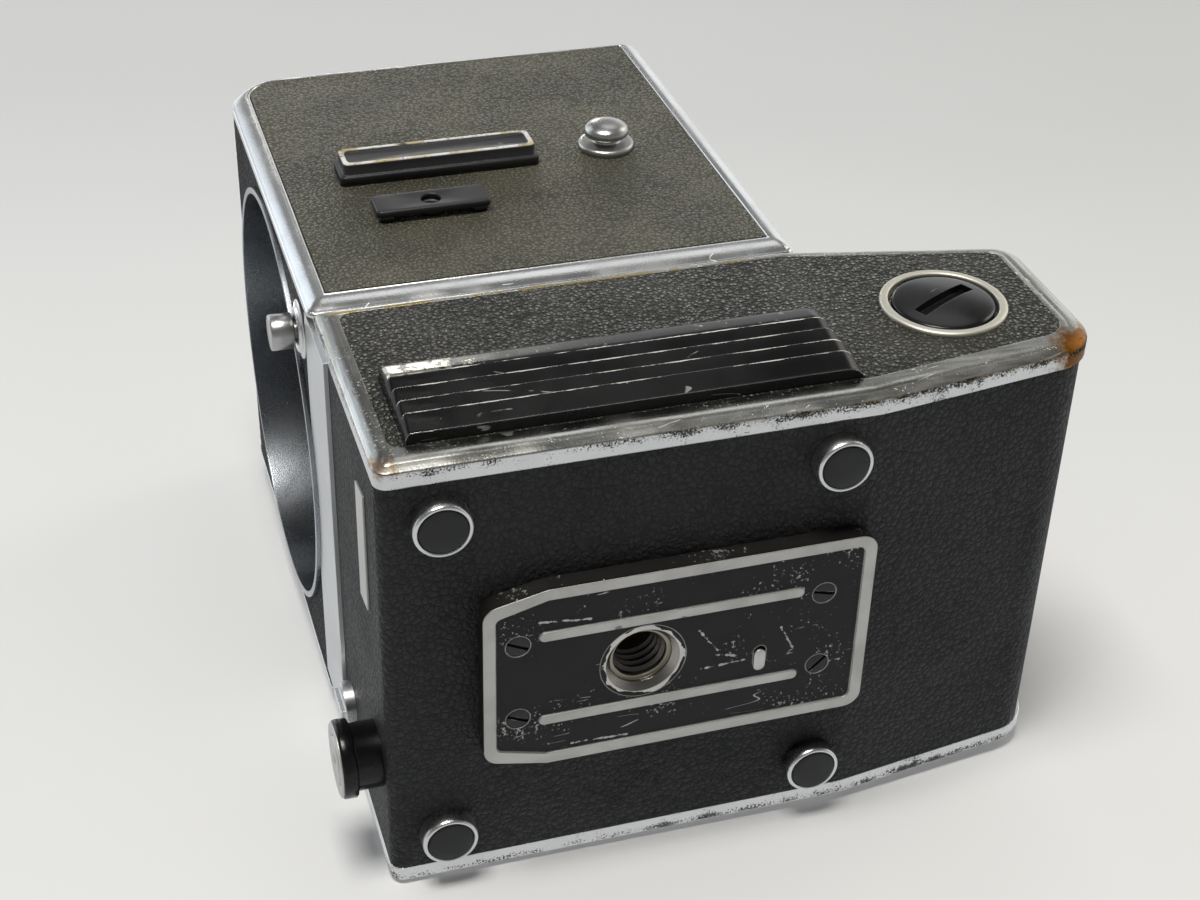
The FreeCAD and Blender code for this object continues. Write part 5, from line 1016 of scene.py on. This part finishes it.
screwBlack = paintedMetal("screw black", paint=(0.005, 0.005, 0.0055), rough=0.45, wear=0.12, chips=0.12, scuff=0.35,
                          edge=0.0003)[0]
makePlateScrews(plateScrews)

indexPlug = {"x": -4.6, "y": 21.4, "halfLong": 2.25, "halfWide": 1.05}


def makeIndexPlug(plug):
    long, wide = plug["halfLong"], plug["halfWide"]
    levels = [(1.7, long, wide, wide), (3.2, long, wide, wide), (3.26, long - 0.08, wide - 0.08, wide - 0.08)]
    addPiece("index_plug", [stacked(levels, "Z", (plug["x"], plug["y"], 0), -1, count=48)], stripMetal, "bare_metal")


makeIndexPlug(indexPlug)

socket = {"outer": 7.62, "edge": 6.6, "wall": 5.55, "bore": 4.7625, "face": -3.2, "step": -1.9, "ledge": -1.3,
          "top": 8.0}


def socketFinish(socket):
    # black face worn to bare metal round the edge, a bright chamfer and a duller ledge inside
    material, shader, place = newMaterial("socket bushing")
    x, y, z = split(place)
    flat = put(place.tree, "ShaderNodeCombineXYZ", {0: x, 1: y, 2: 0.0})
    radius = flat.vector("LENGTH")
    limit = flat.noise(0.0045, 5, 0.55).ramp(0.35, 0.65, 0.0067, 0.0078)
    worn = radius < limit
    face = z < (socket["face"] + 0.05) * mm
    paint = face * (1.0 - worn)
    inner = z > (socket["ledge"] - 0.1) * mm
    smudge, fine = smudged(place, 0.004)
    metal = blend(smudge * 0.4, (0.6, 0.59, 0.55), (0.45, 0.43, 0.38))
    metal = blend(1.0 - face, metal, (0.32, 0.3, 0.27))
    metal = blend(inner, metal, (0.3, 0.28, 0.22))
    matt = face.most(inner)
    wire(shader, Base_Color=blend(paint, metal, (0.005, 0.005, 0.0055)), Metallic=1.0 - paint,
         Specular_IOR_Level=0.25, Roughness=smudge * 0.08 + (matt * 0.25 + 0.1),
         Normal=bumped(paint + fine, 0.00003, soft=0.00015))
    return material


def makeSocket(socket):
    # a ring turned about Z: flat face, chamfer, wall, ledge and bore
    outer, edge, wall, bore = pick(socket, "outer", "edge", "wall", "bore")
    face, step, ledge, top = pick(socket, "face", "step", "ledge", "top")
    profile = [(outer, top), (outer, face), (edge + 0.12, face), (edge, face + 0.06), (wall + 0.1, step - 0.08),
               (wall, step), (wall, ledge - 0.1), (wall - 0.1, ledge), (bore + 0.12, ledge), (bore, ledge + 0.15),
               (bore, top)]
    addPiece("socket_bushing", [turned(profile, "Z", (0, 0, 0), steps=96, wrapRows=True)], socketFinish(socket),
             "bare_metal", "tripod_bushing", sharp=35)


makeSocket(socket)

thread = {"pitch": 1.5875, "low": -0.5, "top": 6.2, "root": 4.74, "crest": 4.02, "steps": 48}


def makeThread(thread):
    # a tooth of four (radius, rise) corners carried along a helix: angle = 2 pi t, height = low + pitch t;
    # its crest runs out to the root at both ends
    turns = (thread["top"] - thread["low"]) / thread["pitch"]
    t = np.linspace(0, turns, int(turns * thread["steps"]) + 1)[:, None]
    out = np.clip(np.minimum(t, turns - t) * 4, 0.02, 1)
    reach = thread["root"] - (thread["root"] - thread["crest"]) * out
    radius = np.concatenate([0 * t + thread["root"], reach, reach, 0 * t + thread["root"]], axis=1)
    rise = np.array([[-0.62, -0.1, 0.1, 0.62]]) * thread["pitch"] / 1.5875
    height = thread["low"] + thread["pitch"] * t + rise
    angle = 2 * math.pi * t
    helix = surface(onAxis("Z", (0, 0, 0), height, radius * np.cos(angle), radius * np.sin(angle)))
    addPiece("socket_thread", [helix], threadSteel, "bare_metal", sharp=35)


threadSteel = plainMetal("thread steel", (0.12, 0.11, 0.1), 0.35)[0]
makeThread(thread)
print("underside fittings made")


frontSkin = {"half": 42.2, "low": 57.0, "plateLow": 49.7, "face": -44.8, "joint": -44.0, "back": -41.0,
             "lens": (0, 95.7), "hole": 41.7, "bend": 138.0, "centreY": -33.0, "reach": 76}


def makeFrontSkin(skin):
    # a flat sheet with a round hole: loops blend from the hole's circle to the outline. Above the height b the
    # sheet is bent back over the brow: y = yc - r cos t, z = b + r sin t, with t = (z - b) / 11.4
    wideRadius = 11.4
    top = skin["bend"] + wideRadius * math.radians(skin["reach"])
    for name, low, outer, inner, material, slot, node in (
            ("front_cloth", skin["low"], skin["face"], skin["joint"] + 0.05, shadedFrontLeather, "black_leathercloth",
             "front_leathercloth"),
            ("front_shell", skin["plateLow"], skin["joint"], skin["back"], enamel, "body_enamel", "front_plate")):
        half, (lensX, lensZ) = skin["half"], skin["lens"]
        count = 176
        angle = (np.arange(count) + 0.5) * 2 * math.pi / count
        direction = np.stack([np.cos(angle), np.sin(angle)], axis=-1)
        sideX = half / np.abs(direction[:, 0])
        sideZ = np.where(direction[:, 1] > 0, top - lensZ, lensZ - low) / np.abs(direction[:, 1])
        reach = np.minimum(sideX, sideZ)
        share = np.linspace(0, 1, 22)[:, None]
        distance = skin["hole"] + (reach - skin["hole"])[None] * share
        distance = np.maximum(distance, 0.5)
        x = lensX + distance * direction[None, :, 0]
        z = lensZ + distance * direction[None, :, 1]
        levels = []
        for depth in (outer, inner):
            radius = skin["centreY"] - depth
            turn = np.maximum(z - skin["bend"], 0) / wideRadius
            y = skin["centreY"] - radius * np.cos(turn)
            bentZ = np.minimum(z, skin["bend"]) + radius * np.sin(turn)
            levels.append(np.stack([x, y, bentZ], axis=-1))
        loops = np.concatenate([levels[0], levels[1][::-1]])
        addPiece(name, [surface(loops, wrapRows=True)], material, slot, node, sharp=40)


makeFrontSkin(frontSkin)

release = {"centre": (-21.0, -43.2, 9.2), "barrel": 6.0, "collar": 7.0, "well": 4.38, "stem": 1.8}


def barrelFinish():
    material, shader = paintedMetal(
        "barrel black", (0.003, 0.003, 0.0032), rough=0.16, wear=0.14, chips=0.04, scuff=0.3)[:2]
    wire(shader, Specular_IOR_Level=0.28)
    return material


def makeRelease(release):
    barrel, collar, well, stem = pick(release, "barrel", "collar", "well", "stem")
    centre = release["centre"]
    body = [(barrel, 0), (barrel, 5.1), (barrel + 0.1, 5.35), (collar - 0.25, 5.42), (collar, 5.65), (collar, 7.55),
            (collar - 0.1, 7.85), (collar - 0.3, 7.98), (collar - 0.6, 8.0), (well, 8.0), (well, 3.3),
            (stem + 0.1, 3.3), (stem + 0.1, 0)]
    ring = [(collar - 0.3, 7.95), (collar - 0.32, 8.15), (collar - 0.5, 8.28), (collar - 1.0, 8.3),
            (well + 0.5, 8.24), (well + 0.15, 8.12), (well + 0.02, 7.9)]
    end = centre[1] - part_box("release_button")[1][1] / mm
    button = [(1.1, 4.4), (1.1, 8.15), (1.3, 8.38), (1.7, 8.45), (2.3, 8.36), (3.2, 8.34), (3.8, 8.46), (4.1, 8.42),
              (4.27, 8.2), (4.3, 7.9), (4.3, 5.6), (4.15, 5.4), (stem, 5.4), (stem, end)]
    addPiece("release_housing", [turned(body, "Y", centre, -1, 96, True)], barrelFinish(), "black_anodised",
             "release_barrel", sharp=50)
    addPiece("release_bezel", [turned(ring, "Y", centre, -1, 96, True)], stripMetal, "bare_metal", "release_ring")
    addPiece("release_plunger", [turned(button, "Y", centre, -1, 96)], stripMetal, "bare_metal", "release_button",
             body="shutter_release", sharp=50)


makeRelease(release)

lensRelease = {"y": -44.0, "button": 3.3, "seat": 5.5, "stem": 1.6}


def makeLensRelease(part):
    lowest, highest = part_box("lens_release_button")
    x, z = (lowest[0] + highest[0]) / 2 / mm, (lowest[2] + highest[2]) / 2 / mm
    y, button, seat, stem = pick(part, "y", "button", "seat", "stem")
    end = y - highest[1] / mm
    plunger = [(0.5, 6.18), (2.2, 6.2), (2.7, 6.3), (2.95, 6.4), (3.15, 6.36), (button, 6.15), (button, 2.45),
               (button - 0.15, 2.2), (button - 0.4, 2.1), (stem, 2.1), (stem, end)]
    disc = [(seat, 0.0), (seat, 0.75), (seat - 0.1, 0.98), (seat - 0.35, 1.1), (4.5, 1.1), (4.3, 1.16), (4.15, 1.5),
            (3.95, 1.66), (3.6, 1.66), (3.45, 1.5), (3.42, 0.05)]
    addPiece("lens_plunger", [turned(plunger, "Y", (x, y, z), -1)], studMetal, "bright_chrome",
             "lens_release_button", body="lens_release", sharp=50)
    addPiece("lens_release_collar", [turned(disc, "Y", (x, y, z), -1, 96, True)], fittingChrome, "bright_chrome",
             "lens_release_seat", sharp=50)


makeLensRelease(lensRelease)
print("front controls made")


view = {
    "place": (0.22474, -0.08994, -0.25422),
    "right": (0.02343, 0.95603, -0.29234),
    "up": (0.8259, 0.14627, 0.54452),
    "forward": (-0.56334, 0.2542, 0.78615),
    "lens": 61.32,
}
cameraData = bpy.data.cameras.new("camera")
camera = bpy.data.objects.new("camera", cameraData)
scene.collection.objects.link(camera)
cameraData.sensor_fit = "HORIZONTAL"
cameraData.sensor_width = 36
cameraData.lens = view["lens"]
cameraData.clip_start = 0.005
cameraData.clip_end = 50
right, up, forward = (Vector(view[key]).normalized() for key in ("right", "up", "forward"))
back = -forward
camera.matrix_world = Matrix((
    (right.x, up.x, back.x, view["place"][0]),
    (right.y, up.y, back.y, view["place"][1]),
    (right.z, up.z, back.z, view["place"][2]),
    (0, 0, 0, 1),
))
scene.camera = camera


def floorFinish(name, farShaded, nearLit):
    # pale matt floor, greyer away from the camera: the grey is painted shade standing in for light that falls off with
    # distance; seen from above only, so that it never hides the object
    material, shader, place = newMaterial(name)
    depth = place.vector("DOT_PRODUCT", tuple(away))
    tone = blend(depth.ramp(-0.12, 0.35, smooth=False), nearLit, farShaded)
    mottled = place.noise(0.12, 3).ramp(0.3, 0.7, 0.985, 1.0)
    wire(shader, Base_Color=tone.scaled(mottled), Roughness=0.8, Specular_IOR_Level=0.2)
    tree = place.tree
    clear = put(tree, "ShaderNodeBsdfTransparent")
    seen = put(tree, "ShaderNodeLightPath", out="Is Camera Ray")
    hidden = put(tree, "ShaderNodeNewGeometry", out="Backfacing").most(1.0 - seen)
    mixed = put(tree, "ShaderNodeMixShader", {0: hidden, 1: Value(shader.outputs[0]), 2: clear})
    fill(tree.nodes["Material Output"], {"Surface": mixed})
    return material


def floorPlane(name, point, normal, size, material):
    normal = Vector(normal).normalized()
    side = normal.cross(Vector((0, 1, 0.3))).normalized()
    other = normal.cross(side)
    corners = [Vector(point) + side * a * size + other * b * size for a, b in ((-1, -1), (1, -1), (1, 1), (-1, 1))]
    mesh = bpy.data.meshes.new(name)
    mesh.from_pydata([tuple(corner) for corner in corners], [], [(0, 1, 2, 3)])
    if mesh.polygons[0].normal.dot(normal) < 0:
        mesh.flip_normals()
    mesh.materials.append(material)
    plane = bpy.data.objects.new(name, mesh)
    scene.collection.objects.link(plane)


# the camera body lies on its right side, on the strap lug, the dial and the cover's front corner
tableUp = Vector((1.0, 0.01395, 0.03764)).normalized()
away = (forward - tableUp * forward.dot(tableUp)).normalized()
across = away.cross(tableUp).normalized()
target = Vector((0.0, 0.01, 0.06))
floorPlane("table", (-0.04550, 0, 0), tableUp, 4.0,
           floorFinish("table", (0.585, 0.59, 0.585), (0.79, 0.785, 0.775)))
floorPlane("upright_floor", (0, 0, -0.0036), (0, 0, 1), 4.0,
           floorFinish("upright floor", (0.8, 0.8, 0.79), (0.8, 0.8, 0.79)))


def areaLamp(name, offset, size, power, colour=(1, 1, 1)):
    data = bpy.data.lights.new(name, "AREA")
    data.shape = "RECTANGLE"
    data.size, data.size_y = size
    data.energy = power
    data.color = colour
    lamp = bpy.data.objects.new(name, data)
    scene.collection.objects.link(lamp)
    lamp.location = target + tableUp * offset[0] + away * offset[1] + across * offset[2]
    lamp.rotation_mode = "QUATERNION"
    lamp.rotation_quaternion = (target - lamp.location).to_track_quat("-Z", "Y")


areaLamp("overhead", (1.55, -0.36, -0.2), (0.6, 0.5), 22.5, (1.0, 0.985, 0.955))
areaLamp("left_window", (0.6, 0.75, -1.1), (1.1, 0.8), 3.4, (0.8, 0.89, 1.0))
areaLamp("right_lamp", (0.95, 0.9, 1.1), (0.6, 0.6), 3.5, (1.0, 0.93, 0.8))
areaLamp("low_lamp", (0.48, 1.6, -0.3), (0.26, 0.26), 1.1, (1.0, 0.97, 0.9))


def makeWorld():
    # a dim room with a bright low band beyond the object and the pale table below; the camera sees a plain backdrop
    world = bpy.data.worlds.new("surroundings")
    scene.world = world
    world.use_nodes = True
    tree = world.node_tree
    background = tree.nodes["Background"]
    direction = put(tree, "ShaderNodeTexCoord", out="Generated")
    rise, beyond, beside = (direction.vector("DOT_PRODUCT", tuple(axis)) for axis in (tableUp, away, across))
    wall = rise.ramp(0.85, 0.35) * beyond.ramp(-0.3, 0.2, 0.2, 1.0)
    lowRise = rise - beside.ramp(0.02, 0.2, 0.0, 0.16)
    low = lowRise.ramp(0.36, 0.2) * beyond.ramp(-0.3, 0.6, 0.2, 1.0)
    level = wall * 0.2 + beyond.ramp(-0.8, 0.6, 0.12, 0.15)
    level += low * 0.75
    high = direction.vector("DOT_PRODUCT", (0.79, 0.27, 0.55))
    level += high.ramp(0.962, 0.992) * 0.95
    under = rise.ramp(-0.02, -0.15)
    level = level * (1.0 - under) + under * 0.72
    seen = put(tree, "ShaderNodeLightPath", out="Is Camera Ray")
    strength = seen * 0.7 + (1.0 - seen) * level
    fill(background, {"Color": (0.97, 0.985, 1.0), "Strength": strength})


makeWorld()
print("camera, floors and lamps placed")
